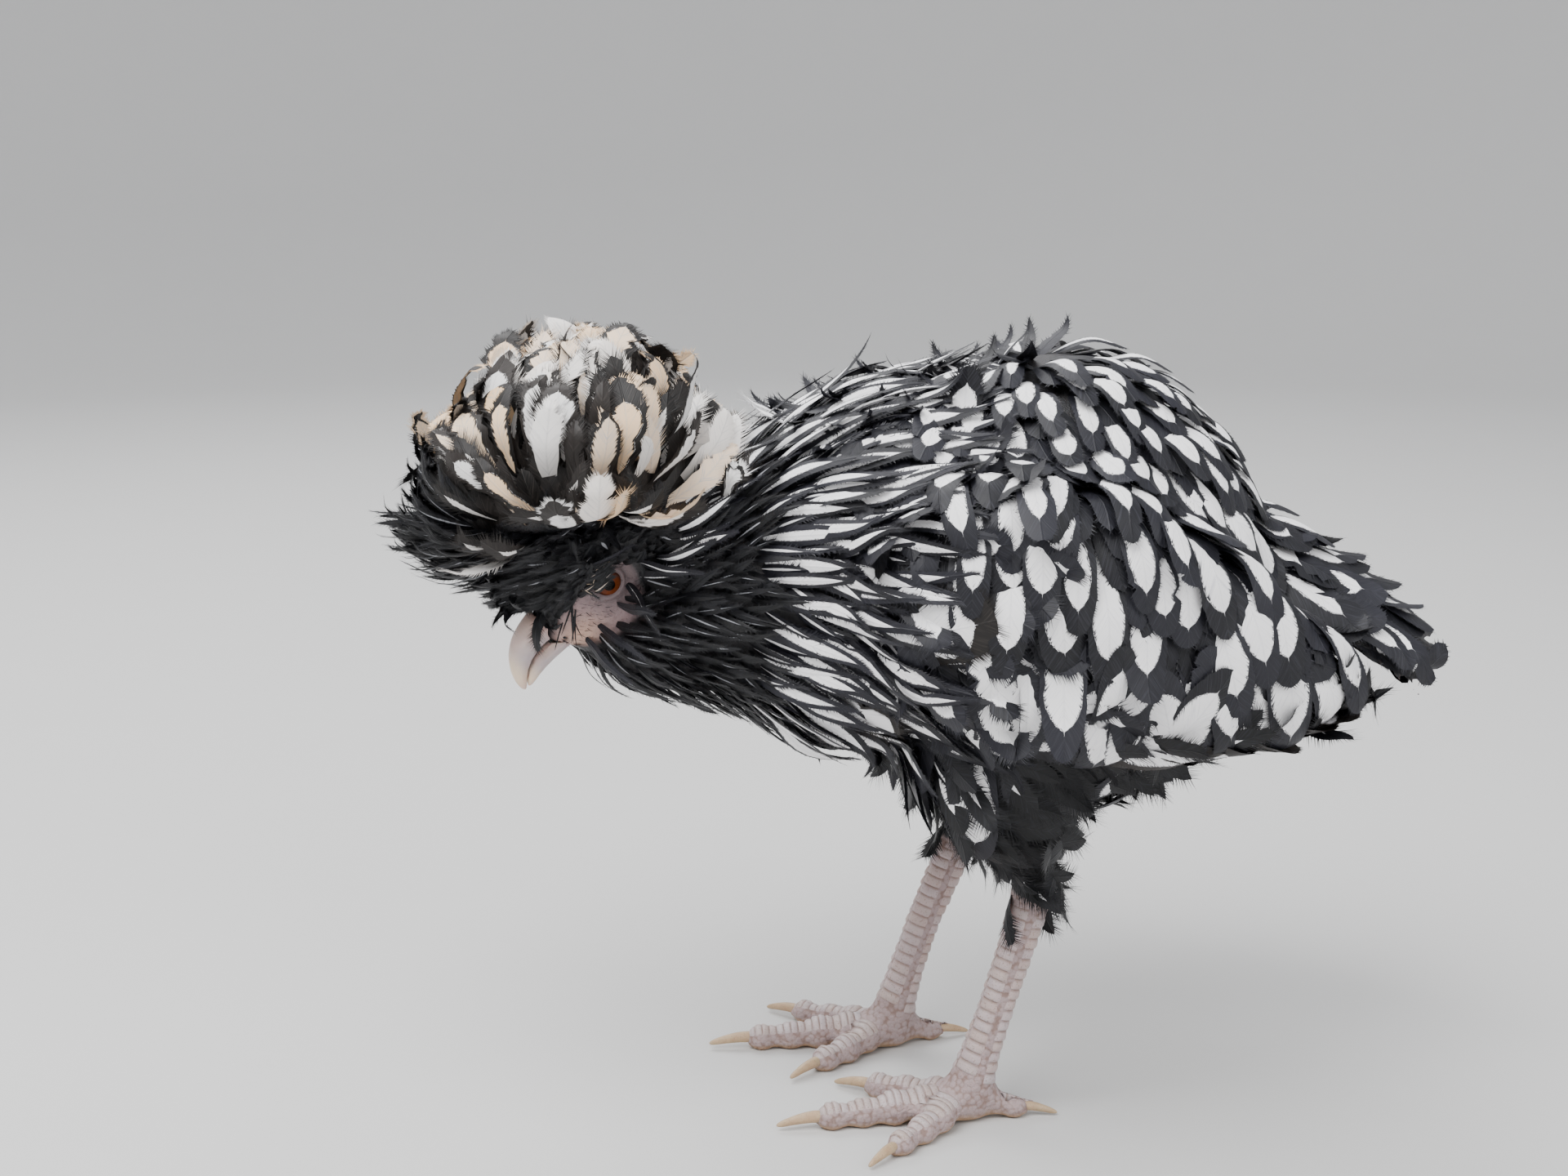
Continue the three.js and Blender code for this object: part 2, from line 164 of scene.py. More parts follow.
def makeBarbGroup():
    # the fine barbs of a vane, which run outward and forward from its shaft
    takes = [("Spacing mm", "Float", 0.5), ("Slant", "Float", 1.3)]
    gives = [("Streak", "Float"), ("Height", "Float"), ("Tone", "Float"), ("Shaft", "Float")]
    group, given, out = newGroup("vane barbs", takes, gives)
    vane = addNode(group, "UVMap", uv_map="vane").outputs["UV"]
    split = addNode(group, "SeparateXYZ", {0: vane})
    along = sums(group, "MULTIPLY", split.outputs["X"], 100.0)
    across = sums(group, "ABSOLUTE", sums(group, "MULTIPLY_ADD", split.outputs["Y"], 100.0, -50.0))
    tone = attribute(group, "tone")
    barb = sums(group, "SUBTRACT", along, sums(group, "MULTIPLY", across, given.outputs["Slant"]))
    barb = sums(group, "DIVIDE", barb, given.outputs["Spacing mm"])
    place = addNode(group, "CombineXYZ", {"X": barb, "Y": sums(group, "MULTIPLY", across, 0.22)})
    group.links.new(sums(group, "MULTIPLY", tone, 400.0), place.inputs["Z"])
    streak = noise(group, place.outputs[0], 1.0, 2.0, 0.6)
    shaft = sums(group, "SUBTRACT", 1.0, ease(group, across, 0.1, 0.34))
    height = sums(group, "ADD", streak, sums(group, "MULTIPLY", shaft, 0.8))
    for label, value in (("Streak", streak), ("Height", height), ("Tone", tone), ("Shaft", shaft)):
        group.links.new(value, out.inputs[label])
    return group


def makeMottleGroup():
    # slow change of colour over a surface, and a fine grain for its relief
    takes = [("Size mm", "Float", 4.0), ("Grain mm", "Float", 0.4)]
    gives = [("Mottle", "Float"), ("Grain", "Float"), ("Cells", "Float")]
    group, given, out = newGroup("mottle and grain", takes, gives)
    place = addNode(group, "TexCoord").outputs["Object"]
    slow = sums(group, "DIVIDE", 1000.0, given.outputs["Size mm"])
    fine = sums(group, "DIVIDE", 1000.0, given.outputs["Grain mm"])
    mottle = noise(group, place, slow, 4.0, 0.6)
    grain = noise(group, place, fine, 3.0, 0.6)
    cells = addNode(group, "TexVoronoi", {"Vector": place, "Scale": fine}, feature="F1").outputs["Distance"]
    for label, value in (("Mottle", mottle), ("Grain", grain), ("Cells", cells)):
        group.links.new(value, out.inputs[label])
    return group


barbGroup = makeBarbGroup()
mottleGroup = makeMottleGroup()


def newMaterial(name, **sockets):
    material = bpy.data.materials.new(name)
    material.use_nodes = True
    tree = material.node_tree
    shader = tree.nodes["Principled BSDF"]
    for label, value in sockets.items():
        shader.inputs[label.replace("_", " ")].default_value = value
    return material, tree, shader


def useGroup(tree, group, **values):
    made = tree.nodes.new("ShaderNodeGroup")
    made.node_tree = group
    for label, value in values.items():
        made.inputs[label.replace("_", " ")].default_value = value
    return made.outputs


def finishShader(tree, shader, colour, height=None, strength=0.0, distance=0.0):
    # gives the shader its colour and, from a height, its relief
    tree.links.new(colour, shader.inputs["Base Color"])
    if height is not None:
        bump = addNode(tree, "Bump", {"Height": height, "Strength": strength, "Distance": distance})
        tree.links.new(bump.outputs["Normal"], shader.inputs["Normal"])


def layered(tree, base, *layers):
    # lays colours over a base one after the other, each by its own share
    for share, colour in layers:
        base = blendColour(tree, share, base, colour)
    return base


def frayedEdge(tree, barbs):
    # high where a core's rim meets a pale barb
    return sums(tree, "ADD", attribute(tree, "rim"), sums(tree, "MULTIPLY", barbs["Streak"], 0.9))


def darkVane(name, deep, pale, streakColour, frayColour, spacing=0.5):
    # black feather: per-feather tone, paler barbs, and white barbs that break its inner edge
    material, tree, shader = newMaterial(name, Roughness=0.5, Specular_IOR_Level=0.35)
    barbs = useGroup(tree, barbGroup, Spacing_mm=spacing)
    colour = layered(tree, blendColour(tree, barbs["Tone"], deep, pale),
                     (ease(tree, barbs["Streak"], 0.45, 0.85), streakColour),
                     (ease(tree, frayedEdge(tree, barbs), 1.38, 1.5), frayColour))
    finishShader(tree, shader, colour, barbs["Height"], 0.5, 0.0002)
    return material


def paleVane(name, white, shade, stain, edgeColour, spacing=0.5, fray=1.32):
    # white feather part: faint grey barbs, a stain on some, and dark barbs at its outer edge
    material, tree, shader = newMaterial(name, Roughness=0.62, Specular_IOR_Level=0.3)
    barbs = useGroup(tree, barbGroup, Spacing_mm=spacing)
    colour = layered(tree, blendColour(tree, attribute(tree, "stain"), white, stain),
                     (ease(tree, barbs["Streak"], 0.5, 0.85), shade),
                     (sums(tree, "MULTIPLY", barbs["Shaft"], 0.25), shade),
                     (ease(tree, frayedEdge(tree, barbs), fray, fray + 0.16), edgeColour))
    finishShader(tree, shader, colour, barbs["Height"], 0.4, 0.0002)
    return material


black = (0.004, 0.004, 0.005)
slate = (0.013, 0.013, 0.019)
brown = (0.020, 0.0155, 0.0135)
white = (0.95, 0.94, 0.95)
lilacGrey = (0.68, 0.67, 0.71)
cream = (0.88, 0.61, 0.36)

materials = {
    "slateVane": darkVane("slate black vane", (0.005, 0.005, 0.007), slate, (0.030, 0.030, 0.040), white),
    "inkVane": darkVane("ink black vane", (0.002, 0.002, 0.0025), (0.006, 0.006, 0.008),
                        (0.018, 0.019, 0.026), (0.35, 0.36, 0.40), 0.42),
    "brownVane": darkVane("brown black vane", (0.004, 0.0035, 0.0035), brown,
                          (0.042, 0.034, 0.030), white, 0.6),
    "whiteVane": paleVane("white vane", white, lilacGrey, cream, slate),
    "crestVane": paleVane("crest white vane", (0.84, 0.83, 0.82), (0.50, 0.49, 0.50),
                          cream, brown, 0.7, 1.24),
    "greyVane": paleVane("grey streak vane", (0.42, 0.43, 0.46), (0.10, 0.10, 0.12), cream, black, 0.5, 1.22),
}


# Meshes
def meshArrays(mesh):
    # vertices in mm and triangles
    points = np.empty(len(mesh.vertices) * 3, np.float32)
    mesh.vertices.foreach_get("co", points)
    mesh.calc_loop_triangles()
    corners = np.empty(len(mesh.loop_triangles) * 3, np.int32)
    mesh.loop_triangles.foreach_get("vertices", corners)
    return points.reshape(-1, 3).astype(float) / mm, corners.reshape(-1, 3)


def buildMesh(name, points, triangles):
    mesh = bpy.data.meshes.new(name)
    mesh.vertices.add(len(points))
    setPoints(mesh, points)
    mesh.loops.add(triangles.size)
    mesh.loops.foreach_set("vertex_index", triangles.astype(np.int32).ravel())
    mesh.polygons.add(len(triangles))
    mesh.polygons.foreach_set("loop_start", np.arange(0, triangles.size, 3, dtype=np.int32))
    mesh.update(calc_edges=True)
    mesh.shade_smooth()
    return mesh


def merged(parts):
    # several pairs of points and triangles as one pair
    starts = np.cumsum([0] + [len(points) for points, _ in parts[:-1]])
    triangles = [faces + start for (_, faces), start in zip(parts, starts)]
    return np.concatenate([points for points, _ in parts]), np.concatenate(triangles)


def addPiece(name, mesh, material, replaced=()):
    piece = placed(name, mesh)
    mesh.materials.clear()
    mesh.materials.append(material)
    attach(piece, "root")
    if replaced:
        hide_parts(*replaced)


def applied(mesh, *modifiers):
    # a new mesh with (kind, settings) modifiers applied
    holder = placed("work", mesh)
    for kind, settings in modifiers:
        modifier = holder.modifiers.new(kind, kind)
        for label, value in settings.items():
            setattr(modifier, label, value)
    bpy.context.view_layer.update()
    graph = bpy.context.evaluated_depsgraph_get()
    made = bpy.data.meshes.new_from_object(holder.evaluated_get(graph))
    bpy.data.objects.remove(holder)
    return made


def setPoints(mesh, points):
    # vertices in mm
    mesh.vertices.foreach_set("co", (points * mm).astype(np.float32).ravel())


def setField(mesh, name, values):
    field = mesh.attributes.new(name, "FLOAT", "POINT")
    field.data.foreach_set("value", values.astype(np.float32))


def setUv(mesh, name, perPoint):
    corners = np.empty(len(mesh.loops), np.int32)
    mesh.loops.foreach_get("vertex_index", corners)
    layer = mesh.uv_layers.new(name=name, do_init=False)
    layer.data.foreach_set("uv", perPoint[corners].astype(np.float32).ravel())


def lengths(vectors):
    return np.sqrt((vectors ** 2).sum(-1, keepdims=True))


def unit(vectors):
    return vectors / np.maximum(lengths(vectors), 1e-9)


def dot(first, second):
    return (first * second).sum(-1, keepdims=True)


def flatten(vectors, normals):
    # the part of a direction that lies along the surface
    return unit(vectors - normals * dot(vectors, normals))


def smoothstep(low, high, value):
    t = np.clip((value - low) / (high - low), 0, 1)
    return t * t * (3 - 2 * t)


def pointNormals(points, triangles):
    a, b, c = (points[triangles[:, i]] for i in range(3))
    face = np.cross(b - a, c - a)
    normals = np.zeros_like(points)
    for i in range(3):
        for axis in range(3):
            normals[:, axis] += np.bincount(triangles[:, i], face[:, axis], len(points))
    return unit(normals)


def surfaceTree(points, triangles):
    return BVHTree.FromPolygons(points.tolist(), triangles.tolist())


def nearest(tree, points):
    spots = np.empty_like(points)
    normals = np.empty_like(points)
    faces = np.empty(len(points), int)
    for i, point in enumerate(points):
        spot, normal, face, _ = tree.find_nearest(point)
        spots[i] = spot
        normals[i] = normal
        faces[i] = face
    return spots, normals, faces


def cornerShares(corners, spots):
    # how much each corner of its triangle weighs at each spot
    opposite = [(corners[:, i - 2], corners[:, i - 1]) for i in range(3)]
    shares = np.concatenate([lengths(np.cross(end - start, spots - start)) for start, end in opposite], 1)
    return shares / np.maximum(shares.sum(1, keepdims=True), 1e-9)


# The head's own axes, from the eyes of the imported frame
headPitch = math.radians(40)   # how far the bill points below level


def middleOf(node):
    low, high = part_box(node)
    return np.array((low + high) / 2) / mm


eyes = {"left": middleOf("eye_left"), "right": middleOf("eye_right")}
eyeRadius = (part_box("eye_left")[1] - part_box("eye_left")[0]).z / 2 / mm
headMiddle = (eyes["left"] + eyes["right"]) / 2
headSide = unit(eyes["left"] - eyes["right"])
levelAhead = np.array([headSide[1], -headSide[0], 0])
headAhead = levelAhead * math.cos(headPitch) - np.array([0, 0, 1]) * math.sin(headPitch)
headUp = np.cross(headAhead, headSide)


def headSpace(points):
    # ahead toward the bill's tip, out to her left, and up, in mm from between the eyes
    away = points - headMiddle
    return away @ headAhead, away @ headSide, away @ headUp


# where a leg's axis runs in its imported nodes, in mm
legLook = {"ballBehind": 7.2, "ballHeight": 6, "hockAhead": 7, "hockBelow": 14, "tipHeight": 3.2}


def limbs():
    # each toe and shank: its kind, path and the direction that its plates face
    for side in ("left", "right"):
        ball = middleOf("shank_" + side)
        low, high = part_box("shank_" + side)
        ball[1] = low.y / mm + legLook["ballBehind"]
        ball[2] = legLook["ballHeight"]
        hock = np.array([ball[0], high.y / mm - legLook["hockAhead"], high.z / mm - legLook["hockBelow"]])
        for facing in (1, -1):
            yield "shank", (hock, ball + np.array([0, 0.5, 4])), facing * np.array([0, -1, 0.25])
        for toe in ("inner", "middle", "outer", "hind"):
            tip = middleOf(f"claw_{toe}_{side}")
            tip[2] = legLook["tipHeight"]
            root = ball + np.array([0, 0, 4 if toe == "hind" else 0])
            yield "toe", (root, root + (tip - root) * 0.9), np.array([0, 0, 1.0])


# Skin: the flesh nodes welded to one surface, drawn in by the coat's depth
skinLook = {
    "depth": {"head": 0.3, "crest": 13, "neck": 6, "trunk": 7, "tail": 1.2, "wing": 2.2, "thigh": 4.5,
              "shank": 0.4, "toe": 0.1, "eye": 1.0},
    "soften": {"head": 0.12, "crest": 1, "neck": 0.8, "trunk": 0.8, "tail": 0.05, "wing": 0.15, "thigh": 0.6,
               "shank": 0.05, "toe": 0.0, "eye": 0.05},
    "weld": 0.4,               # how far the nodes swell to close the gaps between them
    "voxel": 1.4,
    "hock": 64,                # above it the leg is feathered
    "lidOpening": (47, 37),    # half angles of the eye's opening, along and across the head
    "lidStand": 0.75,          # how far the lid's rim stands over the eyeball
    "joint": (0.5, 8.6),       # how far a toe swells at its joints, and how far apart they are
    "rounds": (30, 26, 24),    # smoothing of the nodes, of the coat's depth, and of the skin
    "patch": (8, -5.8, 12.8, 7.2),    # bare cheek: its middle ahead and up in head space, and half its sizes
    "ring": (-0.2, -2.0, 5.9),        # bare ring round the eye: its middle and its radius
}


def kindOf(node):
    return node.split("_")[0]


fleshNodes = [n for n in frame["nodes"] if kindOf(n) in skinLook["depth"] and kindOf(n) != "eye"]


def weldedNode(node, swell=0.0):
    work = bmesh.new()
    work.from_mesh(frame["nodes"][node].data)
    bmesh.ops.remove_doubles(work, verts=work.verts, dist=1e-5)
    work.normal_update()
    for vertex in work.verts:
        vertex.co += vertex.normal * swell * mm
    mesh = bpy.data.meshes.new(node)
    work.to_mesh(mesh)
    work.free()
    return mesh


def fleshShell():
    # all flesh nodes in one mesh, and which kind of node each triangle comes from
    nodes = fleshNodes + ["eye_left", "eye_right"]
    parts = [meshArrays(weldedNode(node, skinLook["weld"])) for node in nodes]
    kinds = [kindOf(node) for node, part in zip(nodes, parts) for _ in part[1]]
    return *merged(parts), np.array(kinds)


def neighbourMeans(mesh):
    edges = np.empty(len(mesh.edges) * 2, np.int32)
    mesh.edges.foreach_get("vertices", edges)
    first, second = edges.reshape(-1, 2).T
    size = len(mesh.vertices)
    count = np.bincount(first, minlength=size) + np.bincount(second, minlength=size)

    def mean(values):
        total = np.bincount(first, values[second], size) + np.bincount(second, values[first], size)
        return total / np.maximum(count, 1)
    return mean


def skinKind(points, shellTree, kinds):
    # the kind of node that each point of the surface lies on
    _, _, faces = nearest(shellTree, points)
    kind = kinds[faces]
    return np.where((kind == "shank") & (points[:, 2] > skinLook["hock"]), "thigh", kind)


def drawnIn(mesh, shellTree, kinds):
    # moves the surface inward by the coat's depth of the node that it lies on
    points, triangles = meshArrays(mesh)
    kind = skinKind(points, shellTree, kinds)
    mean = neighbourMeans(mesh)
    before, during, after = skinLook["rounds"]
    soften = np.array([skinLook["soften"][k] for k in kind])
    points = softened(points, soften, mean, before)
    target = np.array([skinLook["depth"][k] for k in kind])
    bare = np.isin(kind, ["head", "shank", "toe", "eye"])
    depth = target
    for _ in range(during):
        depth = np.where(bare, target, 0.5 * depth + 0.5 * mean(depth))
    moved = points - pointNormals(points, triangles) * depth[:, None]
    moved = softened(moved, soften, mean, after)
    setPoints(mesh, moved)
    mesh.update()
    return mesh


def softened(points, weights, mean, rounds):
    # smooths a surface by local weights
    for _ in range(rounds):
        average = np.stack([mean(points[:, axis]) for axis in range(3)], 1)
        points = points + (average - points) * 0.6 * weights[:, None]
    return points


def refined(mesh, chosen):
    # splits the edges of the chosen faces; chosen takes centres in mm
    work = bmesh.new()
    work.from_mesh(mesh)
    faces = list(work.faces)
    centres = np.array([face.calc_center_median() for face in faces]) / mm
    mask = chosen(centres)
    edges = {edge for face, wanted in zip(faces, mask) if wanted for edge in face.edges}
    bmesh.ops.subdivide_edges(work, edges=list(edges), cuts=1, use_grid_fill=True, smooth=0.3)
    work.to_mesh(mesh)
    work.free()
    return mesh


def bareFace(points):
    # how far inside the bare skin of the face a point lies: 1 well inside, 0 outside
    ahead, out, up = headSpace(points)
    cheekAhead, cheekUp, halfAlong, halfAcross = skinLook["patch"]
    cheek = np.hypot((ahead - cheekAhead) / halfAlong, (up - cheekUp) / halfAcross)
    ringAhead, ringUp, radius = skinLook["ring"]
    ring = np.hypot(ahead - ringAhead, up - ringUp) / radius
    inside = 1 - smoothstep(0.85, 1.1, np.minimum(cheek, ring))
    return inside * (np.abs(out) > 3) * (np.abs(ahead) < 30)


def nearFace(points):
    ahead, out, up = headSpace(points)
    return (np.hypot((ahead - 7) / 19, (up + 3) / 15) < 1) & (np.abs(out) < 22)


def gazeOf(side):
    # the direction in which an eye looks, and the head's own direction square to it
    gaze = unit(headSide * (1 if side == "left" else -1) + 0.16 * headAhead)
    return gaze, unit(headAhead - gaze * (headAhead @ gaze))


def shapeLids(points):
    # wraps a rim of skin round each eyeball, open in front
    halfAlong, halfAcross = (math.radians(a) for a in skinLook["lidOpening"])
    for side, eye in eyes.items():
        gaze, along = gazeOf(side)
        over = unit(headUp - gaze * (headUp @ gaze))
        away = points - eye
        reach = lengths(away)[:, 0]
        direction = away / np.maximum(reach, 1e-6)[:, None]
        turn = np.arccos(np.clip(direction @ gaze, -1, 1))
        spin = np.arctan2(direction @ over, direction @ along)
        opening = 1 / np.hypot(np.cos(spin) / halfAlong, np.sin(spin) / halfAcross)
        past = np.degrees(turn - opening)
        rim = eyeRadius + skinLook["lidStand"] * smoothstep(-5, 0, past)
        rim -= 1.6 * (1 - smoothstep(-9, -2, past))
        rim -= 0.28 * smoothstep(5, 9, past) * (1 - smoothstep(12, 17, past))
        hold = (1 - smoothstep(14, 44, past)) * (reach < eyeRadius + 4) * (reach > eyeRadius - 3)
        wanted = eye + direction * rim[:, None]
        points = points + (wanted - points) * hold[:, None]
    return points


def wrinkles(points, scale, seed):
    # cheap smooth noise from a few crossed waves
    waves = np.random.default_rng(seed)
    total = np.zeros(len(points))
    for _ in range(7):
        direction = unit(waves.normal(size=3))
        total += np.sin(points @ direction * scale * waves.uniform(0.7, 1.5) + waves.uniform(0, 6.28))
    return total / 7


def shapeFace(points, normals):
    # folds under the eye and at the corner of the gape
    ahead, out, up = headSpace(points)
    inside = bareFace(points)
    fold = 0.16 * np.sin(np.hypot(ahead + 2, (up - 1) * 1.3) * 1.9 + 3.2 * wrinkles(points, 0.5, 3))
    fold *= smoothstep(-0.3, 0.3, wrinkles(points, 0.35, 8))
    gape = 0.8 * np.exp(-((ahead - 17) / 3.2) ** 2 - ((up + 5.5) / 2.2) ** 2)
    grain = 0.2 * wrinkles(points, 3.2, 4) + 0.12 * wrinkles(points, 7.0, 5)
    lift = (fold + grain) * inside + gape * (np.abs(out) > 2)
    return points + normals * lift[:, None]


def shapeToes(points, normals, kind):
    # swells each toe at its joints and draws it in between them
    swell, apart = skinLook["joint"]
    lift = np.zeros(len(points))
    closest = np.full(len(points), 6.5)
    for limb, path, _ in limbs():
        if limb == "toe":
            along = unit(path[1] - path[0])
            run = (points - path[0]) @ along
            away = lengths(points - path[0] - run[:, None] * along)[:, 0]
            phase = (lengths(path[1] - path[0])[0] - run) / apart
            wave = swell * np.cos(2 * math.pi * (phase - 0.55)) * smoothstep(6, 10, run)
            chosen = (kind == "toe") & (away < closest)
            lift = np.where(chosen, wave, lift)
            closest = np.where(chosen, away, closest)
    return points + normals * lift[:, None]


def makeSkin():
    shellPoints, shellTriangles, kinds = fleshShell()
    shellTree = surfaceTree(shellPoints, shellTriangles)
    whole = buildMesh("flesh", shellPoints, shellTriangles)
    voxels = ("REMESH", {"mode": "VOXEL", "voxel_size": skinLook["voxel"] * mm, "use_smooth_shade": True})
    whole = applied(whole, voxels, ("SMOOTH", {"factor": 0.5, "iterations": 3}))
    whole = drawnIn(whole, shellTree, kinds)
    whole = applied(whole, voxels, ("SMOOTH", {"factor": 0.5, "iterations": 3}))
    for _ in range(2):
        whole = refined(whole, nearFace)
    points, triangles = meshArrays(whole)
    kind = skinKind(points, shellTree, kinds)
    points = shapeToes(points, pointNormals(points, triangles), kind)
    points = shapeLids(points)
    points = shapeFace(points, pointNormals(points, triangles))
    points[:, 2] = np.maximum(points[:, 2], 0.05)
    return buildMesh("skin", points, triangles), kind


skinMesh, skinKinds = makeSkin()
skinPoints, skinTriangles = meshArrays(skinMesh)
skinNormals = pointNormals(skinPoints, skinTriangles)
skinTree = surfaceTree(skinPoints, skinTriangles)
guideMesh = applied(skinMesh.copy(), ("REMESH", {"mode": "VOXEL", "voxel_size": 2.2 * mm}),
                    ("SMOOTH", {"factor": 0.6, "iterations": 14}))
guidePoints, guideTriangles = meshArrays(guideMesh)
guideNormals = pointNormals(guidePoints, guideTriangles)
guideTree = surfaceTree(guidePoints, guideTriangles)
print("skin:", len(skinTriangles), "triangles")


skinColours = {
    "under": ((0.010, 0.010, 0.012), (0.045, 0.042, 0.045)),    # below the coat
    "face": ((0.22, 0.145, 0.155), (0.41, 0.295, 0.295)),
    "pore": (0.17, 0.10, 0.105),
    "peach": (0.68, 0.43, 0.32),                                # at the corner of the gape
    "leg": (0.42, 0.33, 0.335),
    "crack": (0.25, 0.165, 0.145),
    "legMottle": (0.30, 0.20, 0.17),
    "sole": (0.42, 0.26, 0.15),
    "lid": (0.17, 0.125, 0.13),
}


def skinMaterial():
    colours = skinColours
    material, tree, shader = newMaterial("skin", Roughness=0.55, Subsurface_Weight=0.12,
                                         Subsurface_Scale=0.002)
    shader.inputs["Subsurface Radius"].default_value = (1.0, 0.4, 0.3)
    surface = useGroup(tree, mottleGroup, Size_mm=3.2, Grain_mm=0.5)
    leather = useGroup(tree, mottleGroup, Size_mm=6.0, Grain_mm=1.5)
    onLeg = attribute(tree, "leg")
    under = blendColour(tree, surface["Mottle"], *colours["under"])
    face = layered(tree, blendColour(tree, surface["Mottle"], *colours["face"]),
                   (ease(tree, surface["Grain"], 0.54, 0.74), colours["pore"]),
                   (attribute(tree, "peach"), colours["peach"]))
    leg = blendColour(tree, ease(tree, leather["Cells"], 0.45, 0.85), colours["leg"], colours["crack"])
    leg = layered(tree, leg, (sums(tree, "MULTIPLY", surface["Mottle"], 0.5), colours["legMottle"]),
                  (attribute(tree, "sole"), colours["sole"]))
    colour = layered(tree, under, (attribute(tree, "bare"), face), (onLeg, leg),
                     (attribute(tree, "lid"), colours["lid"]))
    height = sums(tree, "ADD", surface["Grain"], sums(tree, "MULTIPLY", surface["Cells"], -0.9))
    pebbles = sums(tree, "MULTIPLY", leather["Cells"], onLeg)
    height = sums(tree, "ADD", height, sums(tree, "MULTIPLY", pebbles, -3.0))
    finishShader(tree, shader, colour, height, 0.6, 0.00025)
    return material


def lidShare(points):
    # the darker skin of the lids, which fades out over the bare ring round the eye
    share = np.zeros(len(points))
    bare = bareFace(points)
    for eye in eyes.values():
        reach = lengths(points - eye)[:, 0]
        rim = 1 - smoothstep(eyeRadius + 0.9, eyeRadius + 1.6, reach)
        ring = 1 - smoothstep(eyeRadius + 1.5, eyeRadius + 6, reach)
        share = np.maximum(share, np.maximum(rim, 0.6 * ring * bare))
    return share


def finishSkin():
    ahead, _, up = headSpace(skinPoints)
    setField(skinMesh, "bare", bareFace(skinPoints))
    setField(skinMesh, "peach", 0.8 * np.exp(-((ahead - 15) / 6) ** 2 - ((up + 8) / 5) ** 2))
    setField(skinMesh, "lid", lidShare(skinPoints))
    setField(skinMesh, "leg", np.isin(skinKinds, ["shank", "toe"]).astype(float))
    setField(skinMesh, "sole", smoothstep(0.2, 0.7, -skinNormals[:, 2]))
    addPiece("skin", skinMesh, skinMaterial(), fleshNodes)


finishSkin()


# Bill, eyes and claws
def smoothNode(node, level):
    return applied(weldedNode(node), ("SUBSURF", {"levels": level, "render_levels": level}))


billColours = {
    "horn": ((0.40, 0.33, 0.34), (0.52, 0.45, 0.45)),
    # a paler band along the top of each half: partly the horn's own colour, partly a painted highlight on the
    # ridge
    "ridge": (0.66, 0.50, 0.44),
    "tip": (0.78, 0.62, 0.46),
    "cutting": (0.62, 0.42, 0.38),    # along the edge that meets the other half
    "root": (0.50, 0.26, 0.24),
}


def billMaterial():
    colours = billColours
    material, tree, shader = newMaterial("bill horn", Roughness=0.36, Subsurface_Weight=0.15,
                                         Subsurface_Scale=0.0015)
    surface = useGroup(tree, mottleGroup, Size_mm=2.6, Grain_mm=0.35)
    along = attribute(tree, "along")
    high = attribute(tree, "high")
    root = sums(tree, "SUBTRACT", 1.0, ease(tree, along, 0.0, 0.25))
    # the paler top of each half is partly a painted highlight along the ridge
    colour = layered(tree, blendColour(tree, surface["Mottle"], *colours["horn"]),
                     (ease(tree, high, 0.45, 0.95), colours["ridge"]),
                     (ease(tree, along, 0.62, 0.95), colours["tip"]),
                     (sums(tree, "MULTIPLY", ease(tree, high, 0.3, 0.0), 0.7), colours["cutting"]),
                     (sums(tree, "MULTIPLY", root, 0.6), colours["root"]))
    lengthwise = addNode(tree, "CombineXYZ", {"X": along}).outputs[0]
    layers = addNode(tree, "TexWave", {"Vector": lengthwise, "Scale": 5.0, "Distortion": 3.0, "Detail": 2.0,
                                       "Detail Scale": 2.0})
    height = sums(tree, "ADD", surface["Grain"], sums(tree, "MULTIPLY", layers.outputs["Fac"], 0.5))
    finishShader(tree, shader, colour, height, 0.3, 0.0001)
    return material


def makeBill():
    horn = billMaterial()
    for node in ("bill_upper", "bill_lower"):
        mesh = smoothNode(node, 3)
        points, triangles = meshArrays(mesh)
        ahead, out, up = headSpace(points)
        if node == "bill_upper":
            # a slit nostril under a low shield on each side, near the root
            fromRoot = ahead - ahead.min()
            slit = np.exp(-((fromRoot - 6.5) / 1.9) ** 2 - ((up + 0.6) / 0.45) ** 2)
            shield = np.exp(-((fromRoot - 6.2) / 2.6) ** 2 - ((up - 0.7) / 0.9) ** 2)
            sideways = np.sign(out)[:, None] * headSide * (np.abs(out) > 1)[:, None]
            points = points + sideways * (0.35 * shield - 0.5 * slit)[:, None]
        setPoints(mesh, points)
        mesh.shade_smooth()
        setField(mesh, "along", (ahead - ahead.min()) / np.ptp(ahead))
        setField(mesh, "high", (up - up.min()) / np.ptp(up))
        addPiece(node + "_horn", mesh, horn, [node])


eyeLook = {
    "iris": 3.6,          # its radius, in mm
    "cornea": 0.45,       # how far it stands out, in mm
    "rays": ((0.05, 0.011, 0.004), (0.18, 0.043, 0.012)),
    "irisRim": (0.035, 0.010, 0.006),
    "pupil": (0.001, 0.001, 0.001),
    # painted shade: the eyeball past the iris is coloured dark, as the shadowed socket round it
    "socket": (0.05, 0.028, 0.024),
}


